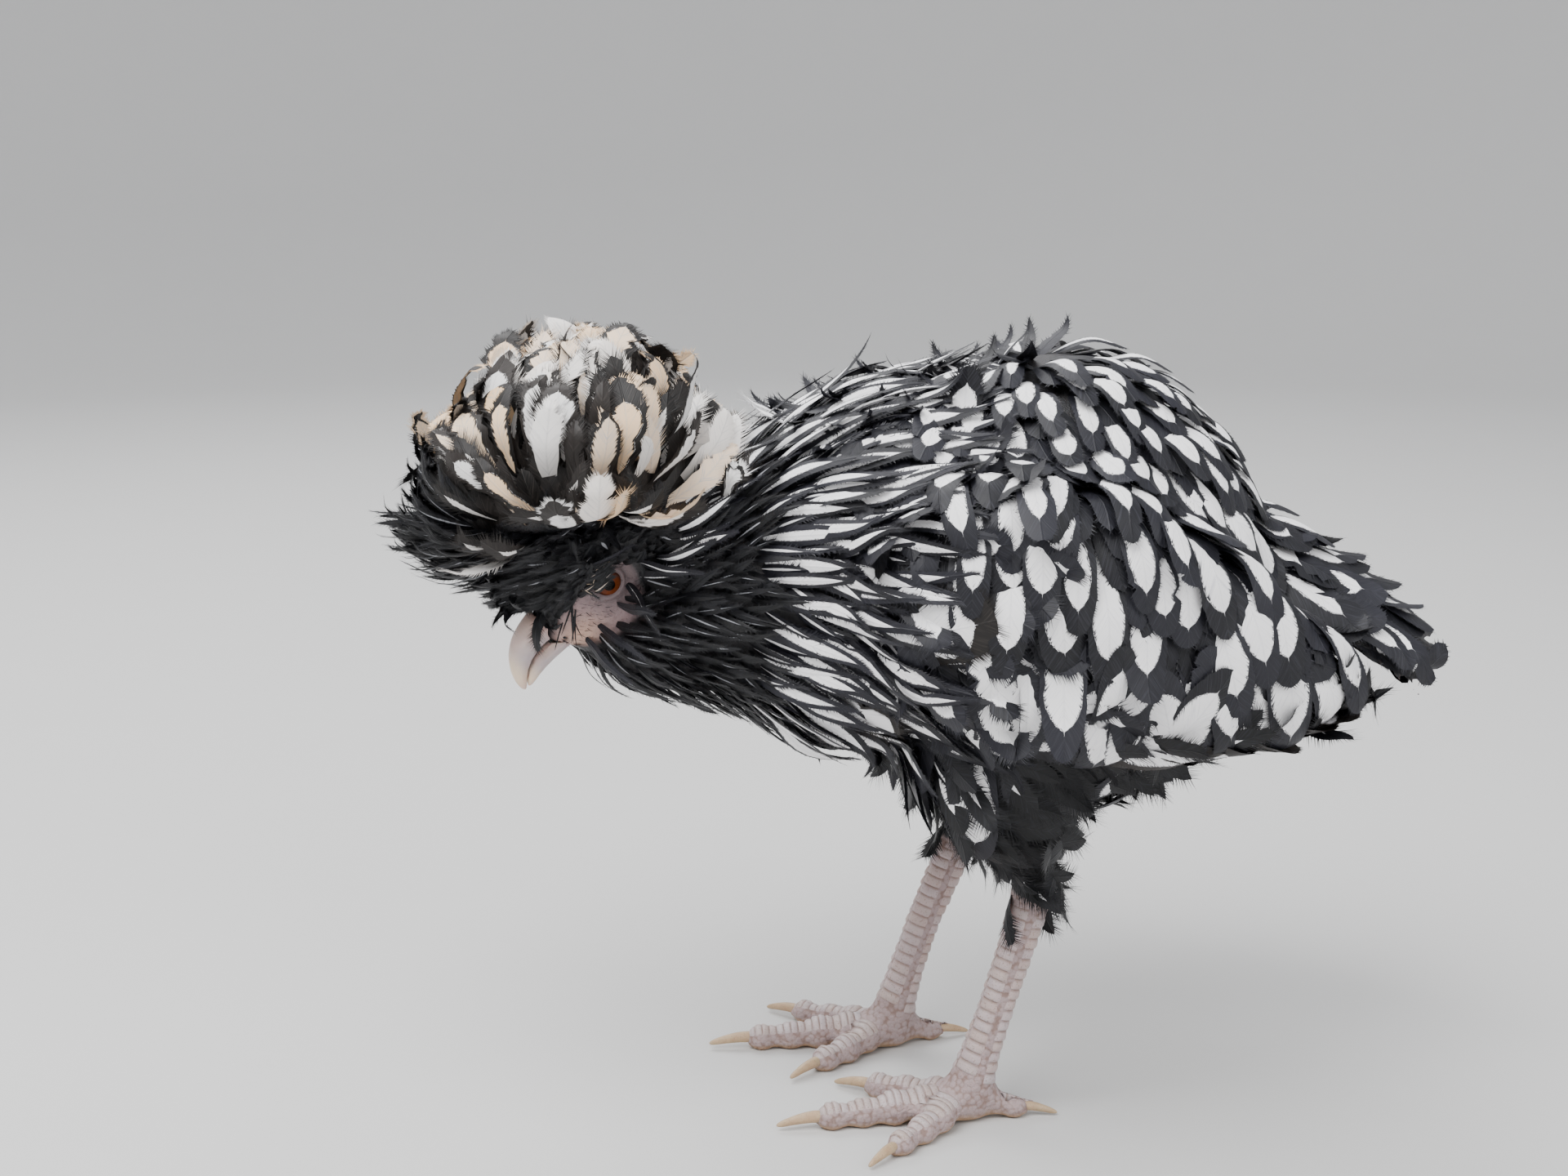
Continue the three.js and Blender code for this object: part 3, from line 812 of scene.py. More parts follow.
def eyeMaterial():
    material, tree, shader = newMaterial("eye", Roughness=0.3, Specular_IOR_Level=0.05, Coat_Weight=0.14,
                                         Coat_Roughness=0.04, Coat_IOR=1.45)
    far = attribute(tree, "far")
    turn = sums(tree, "MULTIPLY", attribute(tree, "spin"), 14.0)
    ray = addNode(tree, "CombineXYZ", {"X": turn, "Y": sums(tree, "MULTIPLY", far, 0.7)})
    rays = noise(tree, ray.outputs[0], 1.0, 3.0, 0.6)
    iris = layered(tree, blendColour(tree, rays, *eyeLook["rays"]),
                   (ease(tree, far, 2.5, 3.5), eyeLook["irisRim"]))
    # past the iris the ball takes a painted shade, the dark of its socket
    colour = layered(tree, eyeLook["pupil"], (ease(tree, far, 1.35, 1.6), iris),
                     (ease(tree, far, 3.5, 3.8), eyeLook["socket"]))
    finishShader(tree, shader, colour)
    return material


def makeEyes():
    wet = eyeMaterial()
    for side, eye in eyes.items():
        gaze, along = gazeOf(side)
        over = np.cross(gaze, along)
        work = bmesh.new()
        bmesh.ops.create_icosphere(work, subdivisions=5, radius=(eyeRadius - 0.15))
        mesh = bpy.data.meshes.new("eyeball")
        work.to_mesh(mesh)
        work.free()
        points = meshArrays(mesh)[0] * mm
        direction = unit(points)
        far = np.hypot(points @ along, points @ over)
        front = points @ gaze > 0
        bulge = eyeLook["cornea"] * (1 - smoothstep(0, eyeLook["iris"] + 0.6, far)) * front
        points = eye + points + direction * bulge[:, None]
        setPoints(mesh, points)
        mesh.shade_smooth()
        setField(mesh, "far", np.where(front, far, 9.0))
        setField(mesh, "spin", np.arctan2((points - eye) @ over, (points - eye) @ along))
        addPiece("eyeball_" + side, mesh, wet, ["eye_" + side])


clawLook = {
    "reach": 2.6,         # how far a claw's root runs back into its toe, in mm
    "horn": ((0.34, 0.21, 0.12), (0.58, 0.43, 0.28)),
    "grain": (0.22, 0.14, 0.09),
}


def clawMaterial():
    material, tree, shader = newMaterial("claw horn", Roughness=0.42, Subsurface_Weight=0.1)
    surface = useGroup(tree, mottleGroup, Size_mm=3.0, Grain_mm=0.3)
    colour = layered(tree, blendColour(tree, surface["Mottle"], *clawLook["horn"]),
                     (ease(tree, surface["Grain"], 0.55, 0.75), clawLook["grain"]))
    finishShader(tree, shader, colour, surface["Grain"], 0.4, 0.00015)
    return material


def makeClaws():
    horn = clawMaterial()
    for node in filter(lambda name: name.startswith("claw"), frame["nodes"]):
        mesh = smoothNode(node, 2)
        points = meshArrays(mesh)[0]
        toe = middleOf(node.replace("claw", "toe"))
        tip = points[lengths(points - toe)[:, 0].argmax()]
        axis = unit(tip - toe)
        back = (tip - points) @ axis
        setPoints(mesh, points - axis * (back / back.max() * clawLook["reach"])[:, None])
        mesh.shade_smooth()
        addPiece(node + "_horn", mesh, horn, [node])


makeBill()
makeEyes()
makeClaws()
print("bill, eyes and claws are made")


# Scales of the shanks and toes
scaleLook = {
    "toe": {"pitch": 2.1, "half": 74, "columns": 1, "thick": 0.62, "reach": 7.0, "range": (0.2, 0.97)},
    "shank": {"pitch": 3.0, "half": 80, "columns": 2, "thick": 0.7, "reach": 14.0, "range": (0.02, 0.93)},
    "shankRadius": 8.0,        # no plate of a toe lies closer to the shank's middle
    "across": 9,               # points across a plate
    "rows": ((0.0, 0.05), (0.35, 0.7), (0.8, 1.0), (1.0, 0.75), (1.1, 0.0)),    # place along it, and height
    "shade": (0.0, 0.7, 1.0, 0.8, 0.0),    # how far each row is out of the groove, for its colour
    "horn": ((0.40, 0.32, 0.335), (0.62, 0.53, 0.53)),
    "worn": (0.46, 0.34, 0.29),
    "groove": (0.19, 0.115, 0.085),
    "speck": (0.27, 0.18, 0.15),
}


def castIn(axis, direction, reach):
    # where a ray from outside meets the skin on its way to the axis
    spot = skinTree.ray_cast(axis + direction * reach, -direction)[0]
    return axis if spot is None else np.array(spot)


def plate(path, top, middle, half, start, end, thick, reach):
    # one curved scale: rows along the limb, raised toward its far edge
    rows = scaleLook["rows"]
    count = scaleLook["across"]
    along = unit(path[1] - path[0])
    side = np.cross(along, top)
    points = []
    for part, rise in rows:
        axis = path[0] + (path[1] - path[0]) * (start + (end - start) * part)
        for j in range(count):
            share = 2 * j / (count - 1) - 1
            angle = math.radians(middle + half * share)
            direction = top * math.cos(angle) + side * math.sin(angle)
            edge = 1 - abs(share) ** 4
            points.append(castIn(axis, direction, reach) + direction * (thick * rise * edge - 0.12))
    quads = [(r * count + j, r * count + j + 1, (r + 1) * count + j + 1, (r + 1) * count + j)
             for r in range(len(rows) - 1) for j in range(count - 1)]
    triangles = [t for a, b, c, d in quads for t in ((a, b, c), (a, c, d))]
    return np.array(points), np.array(triangles)


def scaleMaterial():
    material, tree, shader = newMaterial("leg scales", Roughness=0.42, Subsurface_Weight=0.1)
    surface = useGroup(tree, mottleGroup, Size_mm=5.0, Grain_mm=0.45)
    groove = sums(tree, "SUBTRACT", 1.0, ease(tree, attribute(tree, "rise"), 0.1, 0.8))
    colour = layered(tree, blendColour(tree, surface["Mottle"], *scaleLook["horn"]),
                     (attribute(tree, "tone"), scaleLook["worn"]),
                     (sums(tree, "MULTIPLY", groove, 0.8), scaleLook["groove"]),
                     (ease(tree, surface["Grain"], 0.54, 0.72), scaleLook["speck"]))
    finishShader(tree, shader, colour, surface["Grain"], 0.35, 0.00015)
    return material


def makeScales():
    plates, tones = [], []
    for kind, path, facing in limbs():
        look = scaleLook[kind]
        along = unit(path[1] - path[0])
        top = unit(facing - along * (facing @ along))
        first, last = look["range"]
        length = float(lengths(path[1] - path[0])[0])
        if kind == "toe":
            first = max(first, scaleLook["shankRadius"] / length)
        count = int(length * (last - first) / look["pitch"])
        for column in range(look["columns"]):
            half = look["half"] / look["columns"]
            middle = half * (2 * column + 1 - look["columns"])
            for i in range(count):
                shift = 0.5 * column / count * (last - first)
                near, far = (first + (last - first) * k / count + shift for k in (i, i + 1))
                thick = look["thick"] * rng.uniform(0.75, 1.15)
                plates.append(plate(path, top, middle, half, near, far, thick, look["reach"]))
                tones.append(rng.uniform(0, 0.6))
    shade = np.repeat(scaleLook["shade"], scaleLook["across"])
    mesh = buildMesh("leg_plates", *merged(plates))
    setField(mesh, "tone", np.repeat(tones, len(shade)))
    setField(mesh, "rise", np.tile(shade, len(plates)))
    addPiece("leg_plates", mesh, scaleMaterial())


makeScales()
print("legs are scaled")


# The flat map of the skin, where each feather's patch has its place
mapTriangleLimit = 16000


def makeSkinMap():
    proxy = applied(skinMesh.copy(), ("DECIMATE", {"ratio": mapTriangleLimit / len(skinTriangles)}))
    holder = placed("map", proxy)
    bpy.context.view_layer.objects.active = holder
    holder.select_set(True)
    bpy.ops.object.mode_set(mode="EDIT")
    bpy.ops.mesh.select_all(action="SELECT")
    bpy.ops.uv.smart_project(angle_limit=math.radians(66), island_margin=0.004)
    bpy.ops.object.mode_set(mode="OBJECT")
    points, triangles = meshArrays(holder.data)
    corners = np.empty(len(holder.data.loop_triangles) * 3, np.int32)
    holder.data.loop_triangles.foreach_get("loops", corners)
    flat = np.empty(len(holder.data.loops) * 2, np.float32)
    holder.data.uv_layers.active.data.foreach_get("uv", flat)
    cornerUv = flat.reshape(-1, 2)[corners].reshape(-1, 3, 2)
    bpy.data.objects.remove(holder)
    return surfaceTree(points, triangles), points, triangles, cornerUv


mapTree, mapPoints, mapTriangles, mapUv = makeSkinMap()


def mapPlace(roots):
    spots, _, faces = nearest(mapTree, roots)
    shares = cornerShares(mapPoints[mapTriangles[faces]], spots)
    return (mapUv[faces] * shares[:, :, None]).sum(1)


def onGuide(points):
    # the nearest spots of the smooth guide surface and its normals there
    spots, _, faces = nearest(guideTree, points)
    shares = cornerShares(guidePoints[guideTriangles[faces]], spots)
    return spots, unit((guideNormals[guideTriangles[faces]] * shares[:, :, None]).sum(1))


# Feathers: each is a curved vane of rows and columns, whose inner part is the pale one
vaneColumns = 7          # edge, middle, rim of the core, shaft, and the same again on the other side
patch = 0.003            # a feather's patch on the flat map
sideLimit = (67, 7.5)    # how far out feathers stand freely, and how much further they reach at most


def vaneWidth(place, look):
    # half width along the feather as a share of its greatest half width
    swell = look["base"] + (1 - look["base"]) * np.sin(np.clip(place / look["full"], 0, 1) * math.pi / 2)
    tip = np.clip((place - look["taper"]) / (1 - look["taper"]), 0, 1)
    return swell * (1 - tip ** look["power"]) ** look["round"] + 0.02


def coreWidth(part, look):
    # half width of the pale core as a share of the vane's, from its root to its pointed end
    grown = np.clip(0.45 + part * 0.85, 0, 1)
    point = np.clip((part - look["coreTaper"]) / (1 - look["coreTaper"]), 0, 1)
    body = np.sqrt(np.clip(1 - (point / 0.85) ** 2.4, 0, 1))
    return look["core"] * grown * (0.86 * body + 0.14 * (1 - point))


def column(values, count):
    return np.broadcast_to(np.asarray(values, float), (count,))[:, None]


def pressedIn(x):
    # feathers at the sides lie flatter the further out they would stand
    start, reach = sideLimit
    over = np.maximum(np.abs(x) - start, 0)
    return np.sign(x) * (np.minimum(np.abs(x), start) + reach * np.tanh(over / reach))


def alongSkin(roots, normals, headings, look, place):
    # centre lines that follow the skin at the coat's depth, and the outward direction along them
    count, rows = len(roots), look["rows"]
    length = column(look["length"], count)
    depth = column(look["depth"], count)
    sway = np.radians(column(look["sway"], count))
    hug = 1 - (1 - column(look["hug"], count)) ** (10 / rows)    # how closely it follows the skin
    layer = rng.normal(0, look["ruffle"], (count, 1))
    line = np.empty((count, rows + 1, 3))
    outward = np.empty_like(line)
    line[:, 0] = roots - normals * 0.5
    outward[:, 0] = normals
    foot, heading, up = roots, headings, normals
    for k in range(1, rows + 1):
        step = (place[:, k] - place[:, k - 1])[:, None] * length
        heading = unit(heading + np.cross(up, heading) * sway * step / length)
        guess = foot + heading * step
        spots, found = onGuide(guess)
        spots = guess + (spots - guess) * hug
        up = unit(up + (found - up) * hug)
        heading = unit(flatten(spots - foot, up) * hug + heading * (1 - hug))
        foot = spots
        rise = smoothstep(0, look["riseBy"], place[:, k])[:, None]
        line[:, k] = foot + up * (depth * (0.1 + 0.9 * rise) + layer * rise)
        outward[:, k] = up
    for _ in range(3):
        line[:, 1:-1] = line[:, 1:-1] * 0.5 + (line[:, :-2] + line[:, 2:]) * 0.25
        outward[:, 1:-1] = unit(outward[:, 1:-1] * 0.5 + (outward[:, :-2] + outward[:, 2:]) * 0.25)
    return line, outward


def curled(line, outward, look, place):
    # bends the outer part away from the body; gives each row's tangent, upper side and sideways direction too
    count = len(line)
    curlStart = column(look["curlStart"], count)
    part = np.clip((place - curlStart) / (1 - curlStart), 0, 1)
    bend = (np.radians(column(look["curl"], count)) * part ** 1.2)[:, :, None]
    steps = np.diff(line, axis=1)
    straight = unit(steps)
    lift = flatten(outward[:, 1:], straight)
    bent = (straight * np.cos(bend[:, 1:]) + lift * np.sin(bend[:, 1:])) * lengths(steps)
    line[:, 1:] = line[:, :1] + np.cumsum(bent, axis=1)
    tangent = unit(np.gradient(line, axis=1))
    ahead = np.concatenate([straight[:, :1], straight], 1)
    above = flatten(np.cos(bend) * outward - np.sin(bend) * ahead, tangent)
    side = np.cross(tangent, above)
    roll = np.radians(rng.normal(0, look["roll"], (count, 1, 1)))
    turnedAbove = above * np.cos(roll) + side * np.sin(roll)
    return line, tangent, turnedAbove, side * np.cos(roll) - above * np.sin(roll)


def growVanes(roots, normals, headings, look):
    # vanes from their roots, normals and headings; a look's values are one for all or one for each
    count, rows = len(roots), look["rows"]
    look = dict(look)
    for key in ("base", "full", "taper", "power", "round", "coreTaper", "core", "coreStart", "coreEnd"):
        look[key] = column(look[key], count)
    coreRows = int(rows * 0.62)
    inner = 1 - (1 - np.linspace(0, 1, coreRows + 1)) ** 1.35    # closer rows toward the core's end
    outer = np.linspace(0, 1, rows - coreRows + 1)[1:]
    coreEnd = look["coreEnd"]
    place = np.concatenate([coreEnd * inner, coreEnd + (1 - coreEnd) * outer], 1)
    line, outward = alongSkin(roots, normals, headings, look, place)
    line, tangent, above, side = curled(line, outward, look, place)

    # the outlines of vane and core, a little ragged and sometimes split
    half = vaneWidth(place, look) * column(look["width"], count) / 2
    partOfCore = (place - look["coreStart"]) / (coreEnd - look["coreStart"])
    inCore = (partOfCore >= 0) & (np.arange(rows + 1)[None] < coreRows)
    core = np.where(inCore, coreWidth(np.clip(partOfCore, 0, 1), look), 0)
    sides = (2, *core.shape)
    edges = 1 + rng.normal(0, look["ragged"], sides)
    edges -= 0.4 * (rng.uniform(size=sides) < look["splits"]) * smoothstep(0.3, 0.5, place)
    cores = np.clip(core * (1 + rng.normal(0, look["coreRagged"], sides)), 0, 0.93)
    cores = cores * np.minimum(edges, 1)
    middles = (edges + cores) / 2
    across = np.stack([-edges[0], -middles[0], -cores[0], 0 * core, cores[1], middles[1], edges[1]], 2)
    offset = across * half[:, :, None]
    drop = -look["camber"] * np.abs(across) ** 1.7 * half[:, :, None]
    points = line[:, :, None] + side[:, :, None] * offset[..., None] + above[:, :, None] * drop[..., None]
    points[..., 0] = pressedIn(points[..., 0])
    return {"look": look, "roots": roots, "points": points, "place": place, "across": across,
            "offset": offset, "core": core, "half": half, "tangent": tangent, "side": side, "above": above,
            "length": column(look["length"], count), "coreRows": coreRows}


def vaneTriangles(rows):
    # triangles of one vane, and whether each belongs to the core
    triangles, inner = [], []
    for r in range(rows):
        for c in range(vaneColumns - 1):
            a = r * vaneColumns + c
            b, d, e = a + 1, a + vaneColumns, a + vaneColumns + 1
            triangles += [(a, b, e), (a, e, d)]
            inner += [c in (2, 3)] * 2
    return np.array(triangles), np.array(inner)


def growBarbs(vanes):
    # loose barbs along both edges and round the tip, each one thin triangle
    look = vanes["look"]
    count, rows, barbs = len(vanes["roots"]), look["rows"], look["barbs"]
    each = (count, barbs, 1)
    fray = column(look["fray"], count)[:, :, None]
    spot = np.linspace(0.25, 0.985, barbs)[None] * rows
    spot = np.clip(spot + rng.uniform(-0.4, 0.4, (count, barbs)) * rows / barbs, 0, rows - 0.01)
    low = spot.astype(int)
    share = (spot - low)[..., None]
    feather = np.arange(count)[:, None]

    def at(values):
        return values[feather, low] * (1 - share) + values[feather, low + 1] * share

    tangent, side, above = at(vanes["tangent"]), at(vanes["side"]), at(vanes["above"])
    place = at(vanes["place"][..., None])
    half = at(vanes["half"][..., None])
    for sign, index in ((-1, 0), (1, vaneColumns - 1)):
        edge = at(vanes["points"][:, :, index])
        inset = side * sign * np.minimum(half * 0.3, 0.5)
        wide = np.clip(look["barbWidth"] * rng.uniform(0.7, 1.3, each), 0.1, 2)
        reach = fray * rng.uniform(0.45, 1.1, each)
        forward = look["forward"] + 1.2 * smoothstep(0.8, 1.0, place)
        aim = unit(side * sign + tangent * forward + above * rng.normal(0, 0.18, each))
        foot = edge - inset
        corners = np.stack([foot - tangent * wide, foot + tangent * wide, edge + aim * reach], 2)
        yield corners.reshape(-1, 3), place.ravel(), sign


def vaneChunk(vanes, home, tone, stain, whole):
    # the vanes' triangles, which of them are pale, and the maps and shader values of their points
    count, rows = len(vanes["roots"]), vanes["look"]["rows"]
    perVane = (rows + 1) * vaneColumns
    points = vanes["points"].reshape(-1, 3)
    template, inner = vaneTriangles(rows)
    triangles = (template[None] + (np.arange(count) * perVane)[:, None, None]).reshape(-1, 3)
    a, b, c = (points[triangles[:, i]] for i in range(3))
    solid = lengths(np.cross(b - a, c - a))[:, 0] > 1e-4
    isPale = (inner[None] | whole[:, None]).ravel()

    def acrossRows(values):
        return np.repeat(values[:, :, None], vaneColumns, 2)

    columns = np.arange(vaneColumns)
    hasCore = acrossRows(vanes["core"]) > 0
    endRow = (np.arange(rows + 1) == vanes["coreRows"])[:, None] & hasCore.any(1, keepdims=True)
    atRim = (np.isin(columns, (2, 4)) & hasCore) | (endRow & (columns == 3))
    along = acrossRows(vanes["place"] * vanes["length"]).ravel()
    spread = np.stack([acrossRows(vanes["place"]).ravel() - 0.5, vanes["across"].ravel() / 2], 1)
    values = {"points": points, "OFBake": np.repeat(home, perVane, 0) + spread * patch,
              "vane": np.stack([along / 100, vanes["offset"].ravel() / 100 + 0.5], 1),
              "tone": np.repeat(tone, perVane), "stain": np.repeat(stain, perVane),
              "rim": (atRim & ~whole[:, None, None]).astype(float).ravel()}
    return triangles[solid], isPale[solid], values


def barbChunks(vanes, home, tone, stain, whole):
    # the same for the loose barbs of each edge
    count, barbs = len(vanes["roots"]), vanes["look"]["barbs"]
    owner = np.repeat(np.arange(count), barbs)
    tipPale = column(vanes["look"]["tipPale"], count)[owner, 0] > 0.5
    pointOwner = np.repeat(owner, 3)
    triangles = np.arange(len(pointOwner)).reshape(-1, 3)
    for points, place, sign in growBarbs(vanes):
        pointPlace = np.repeat(place, 3)
        along = pointPlace * vanes["length"][pointOwner, 0] / 100
        spread = np.stack([pointPlace - 0.5, 0 * pointPlace + 0.5 * sign], 1)
        values = {"points": points, "OFBake": home[pointOwner] + spread * patch,
                  "vane": np.stack([along, 0.5 + 0.04 * sign + 0 * along], 1),
                  "tone": tone[pointOwner], "stain": stain[pointOwner], "rim": 0 * pointPlace}
        yield triangles, whole[owner] | (tipPale & (place > 0.8)), values


def joined(chunks, pale):
    # the pale or the dark triangles of all chunks, with the points that they use and those points' values
    made = {"triangles": []}
    start = 0
    for triangles, isPale, values in chunks:
        used, index = np.unique(triangles[isPale == pale], return_inverse=True)
        made["triangles"].append(index.reshape(-1, 3) + start)
        for key, value in values.items():
            made.setdefault(key, []).append(value[used])
        start += len(used)
    return {key: np.concatenate(parts) for key, parts in made.items()}


def coatPieces(name, vaneSets, dark, pale):
    # joins sets of feathers into one dark piece and one pale piece
    chunks = []
    for vanes in vaneSets:
        look, count = vanes["look"], len(vanes["roots"])
        tone = rng.uniform(0, 1, count)
        stain = column(look["stain"], count)[:, 0]
        whole = column(look["whole"], count)[:, 0] > 0.5    # feathers that are pale all over
        facts = (vanes, mapPlace(vanes["roots"]), tone, stain, whole)
        chunks.append(vaneChunk(*facts))
        if look["barbs"]:
            chunks += barbChunks(*facts)
    for part, material in (("dark", dark), ("pale", pale)):
        made = joined(chunks, part == "pale")
        mesh = buildMesh(f"{name}_{part}", made["points"], made["triangles"])
        setUv(mesh, "OFBake", np.clip(made["OFBake"], 0, 1))
        setUv(mesh, "vane", made["vane"])
        for key in ("tone", "stain", "rim"):
            setField(mesh, key, made[key])
        addPiece(f"{name}_{part}", mesh, materials[material])
        print(f"  {name}_{part}: {len(mesh.polygons)} triangles")


# Where feathers grow; cx, cy and cz are the triangles' places across, back and up, in mm
cornerA, cornerB, cornerC = (skinPoints[skinTriangles[:, i]] for i in range(3))
triangleCentres = skinPoints[skinTriangles].mean(1)
triangleAreas = lengths(np.cross(cornerB - cornerA, cornerC - cornerA))[:, 0] / 2
kinds = skinKinds[skinTriangles[:, 0]]
cx, cy, cz = triangleCentres.T
centreAhead, _, centreUp = headSpace(triangleCentres)
bareAt = bareFace(triangleCentres)
triesPerRoot = 7                        # random spots tried for each root that fits
backCrown = np.array([0, 20, 216])      # where the back's feathers fan out from
nape = np.array([0, -100, 158])         # where the hackle flows from
neckEnd = -17                           # the hackle's last roots, in mm along the body
crestBack, crestTop = -50, 211          # no leaf of the crest reaches further back or up


def inPlumes(points):
    # the low front of the crest, which narrow black plumes cover
    return (points[:, 1] < -99) & (points[:, 2] < 148 + 0.9 * (-99 - points[:, 1]))


# on the crest: plumes in front, broad leaves above and behind, and hackle below them at the back
onCrest = kinds == "crest"
plumeMask = onCrest & inPlumes(triangleCentres)
leafMask = onCrest & ~plumeMask & (cz > 157 + 0.3 * np.maximum(cy + 90, 0)) & (cy < -61)
underCrest = onCrest & ~plumeMask & ~leafMask


def scatter(chosen, spacing):
    # evenly spaced roots over the chosen triangles; the spacing may change from place to place
    spacing = np.broadcast_to(spacing, len(triangleAreas))
    weight = triangleAreas * chosen / spacing ** 2
    total = weight.sum()
    tries = int(total * triesPerRoot) + 4
    picked = rng.choice(len(weight), tries, p=weight / total)
    a, b = rng.uniform(size=(2, tries, 1))
    over = a + b > 1
    a, b = np.where(over, 1 - a, a), np.where(over, 1 - b, b)
    start = cornerA[picked]
    spots = start + (cornerB[picked] - start) * a + (cornerC[picked] - start) * b
    cells, kept = {}, []
    apart = spacing[picked] ** 2
    keys = np.floor(spots / spacing[picked].max()).astype(int)
    offsets = [(i, j, k) for i in (-1, 0, 1) for j in (-1, 0, 1) for k in (-1, 0, 1)]
    for i, (key, spot) in enumerate(zip(map(tuple, keys), spots)):
        cellsNear = ((key[0] + x, key[1] + y, key[2] + z) for x, y, z in offsets)
        near = (other for cell in cellsNear for other in cells.get(cell, ()))
        if all(((spot - other) ** 2).sum() > apart[i] for other in near):
            cells.setdefault(key, []).append(spot)
            kept.append(i)
    corners = skinTriangles[picked[kept]]
    return spots[kept], unit(skinNormals[corners[:, 0]] + skinNormals[corners[:, 1]])


def between(pair, count):
    return rng.uniform(pair[0], pair[1], count)


def sparse(chance, count):
    # 1 for some of the feathers, 0 for the others
    return (rng.uniform(size=count) < chance).astype(float)


def turned(headings, normals, spread):
    # headings turned at random about the normals, in degrees
    angle = np.radians(rng.normal(0, spread, len(headings)))[:, None]
    return headings * np.cos(angle) + np.cross(normals, headings) * np.sin(angle)


def planted(chosen, look, heading, spread, spacing=None):
    # roots, normals and headings of one kind of feather, none of which leads over what stays clear
    roots, normals = scatter(chosen, look["spacing"] if spacing is None else spacing)
    headings = turned(heading(roots, normals), normals, spread)
    kept = np.ones(len(roots), bool)
    for part in () if look["onFace"] else (0.3, 0.6, 0.9):
        kept &= bareFace(roots + headings * look["length"][1] * part) < 0.25
    for reach in look["offPlumes"]:
        kept &= ~inPlumes(roots + headings * reach)
    return roots[kept], normals[kept], headings[kept]


def varied(kind, count):
    # a look whose spans are drawn for each feather; a span of three is a chance, then low and high
    look = dict(kind)
    for key in ("length", "width", "coreEnd", "core", "stain", "curl"):
        span = look.get(key)
        if isinstance(span, tuple):
            some = sparse(span[0], count) if len(span) == 3 else 1.0
            look[key] = some * between(span[-2:], count)
    return look


def sown(chosen, kind, heading, spread, spacing=None, fit=None):
    # feathers of one kind over the chosen triangles; fit changes their look from place to place
    roots, normals, headings = planted(chosen, kind, heading, spread, spacing)
    look = varied(kind, len(roots))
    if fit:
        fit(look, roots, normals, headings)
    return growVanes(roots, normals, headings, look)


def streakShare(points):
    # the hackle's streaks fade out toward the face
    return smoothstep(-87, -72, points[:, 1])


# In a look, lengths are in mm, curls and rolls in degrees, and places are shares of the feather's length.
# length, width, coreEnd, core, stain and curl may be spans, as varied reads them.
plainVane = {
    "depth": 5,             # how high it lies over the skin
    "rows": 10,             # rows of points along it
    "hug": 1.0,             # how closely it follows the skin: 1 lies on it, 0 runs straight on
    "riseBy": 0.6,          # where it has risen to its depth
    "ruffle": 0.6,          # how much its height changes from feather to feather
    "roll": 8,              # how much it is turned about its shaft
    "sway": 0.0,            # how far its shaft bends sideways
    "curl": 0.0,            # how far it bends away from the body
    "curlStart": 0.5,
    "camber": 0.16,         # how far its sides droop
    "ragged": 0.02,
    "splits": 0.02,
    "coreStart": 0.05,
    "coreRagged": 0.035,
    "fray": 1.2,            # length of the loose barbs
    "barbs": 24,            # how many of them there are on each side
    "barbWidth": 0.22,
    "forward": 1.0,         # how far they lean toward the tip
    "tipPale": 0.0,         # 1 where the barbs at the tip are pale
    "stain": 0.0,           # share of cream in the pale part
    "whole": 0.0,           # 1 where the feather is pale all over
    "onFace": False,        # may lie over the bare face
    "offPlumes": (),        # how far along it must stay clear of the plumes
}
# outlines: width at the root, where it is full, where it tapers and how, and where the core tapers
roundTip = {**plainVane, "base": 0.45, "full": 0.45, "taper": 0.62, "power": 2.2, "round": 0.5,
            "coreTaper": 0.62}
pointedTip = {**plainVane, "base": 0.5, "full": 0.35, "taper": 0.3, "power": 1.7, "round": 0.9,
              "coreTaper": 0.45}
leafTip = {**plainVane, "base": 0.3, "full": 0.6, "taper": 0.6, "power": 2.0, "round": 0.6,
           "coreTaper": 0.55}
underLook = {**roundTip, "length": (17, 23), "width": (6.5, 8.5), "fray": 1.8, "barbs": 12, "coreStart": 0.1,
             "coreEnd": 0.7, "core": 0.0, "rows": 6, "curl": 8, "ruffle": 0.4, "barbWidth": 0.35}
underHackle = {**pointedTip, "length": (20, 26), "width": (3.6, 5.2), "fray": 1.6, "barbs": 16,
               "coreStart": 0.1, "coreEnd": 0.8, "core": 0.3, "rows": 9, "curl": 8, "ruffle": 0.4,
               "barbWidth": 0.35}
underSpacing = 5.2    # the spacing at which these two have their full size


def underLayer(chosen, heading, depth, spacing=underSpacing, kind=underLook):
    # plainer feathers under the marked ones, which close the gaps between them
    def fit(look, roots, *others):
        for key in ("length", "width"):
            look[key] = look[key] * spacing / underSpacing
        look["core"] = kind["core"] * streakShare(roots)
    return sown(chosen, {**kind, "depth": depth}, heading, 9, spacing, fit)


# Back and flanks
backLook = {**roundTip, "spacing": (5.6, 8.6), "length": (32, 39), "width": (10.5, 13.5), "depth": 6.6,
            "fray": 1.1, "barbs": 34, "coreEnd": (0.78, 0.85), "core": (0.62, 0.84), "curl": (-6, 8),
            "rows": 20, "roll": 6}
crownLook = {**pointedTip, "spacing": 5.5, "length": (12, 19), "width": (4, 6.5), "fray": 1.8,
             "coreStart": 0.1, "coreEnd": (0.6, 0.8), "core": (0.4, 0.2, 0.45), "curl": (40, 100),
             "barbWidth": 0.2}


def backHeading(roots, normals):
    # down the sides and aft along the ridge
    away = roots - backCrown + np.array([0, 0, -8])
    away[:, 1] *= np.where(away[:, 1] < 0, 0.45, 1)
    return flatten(away, normals)


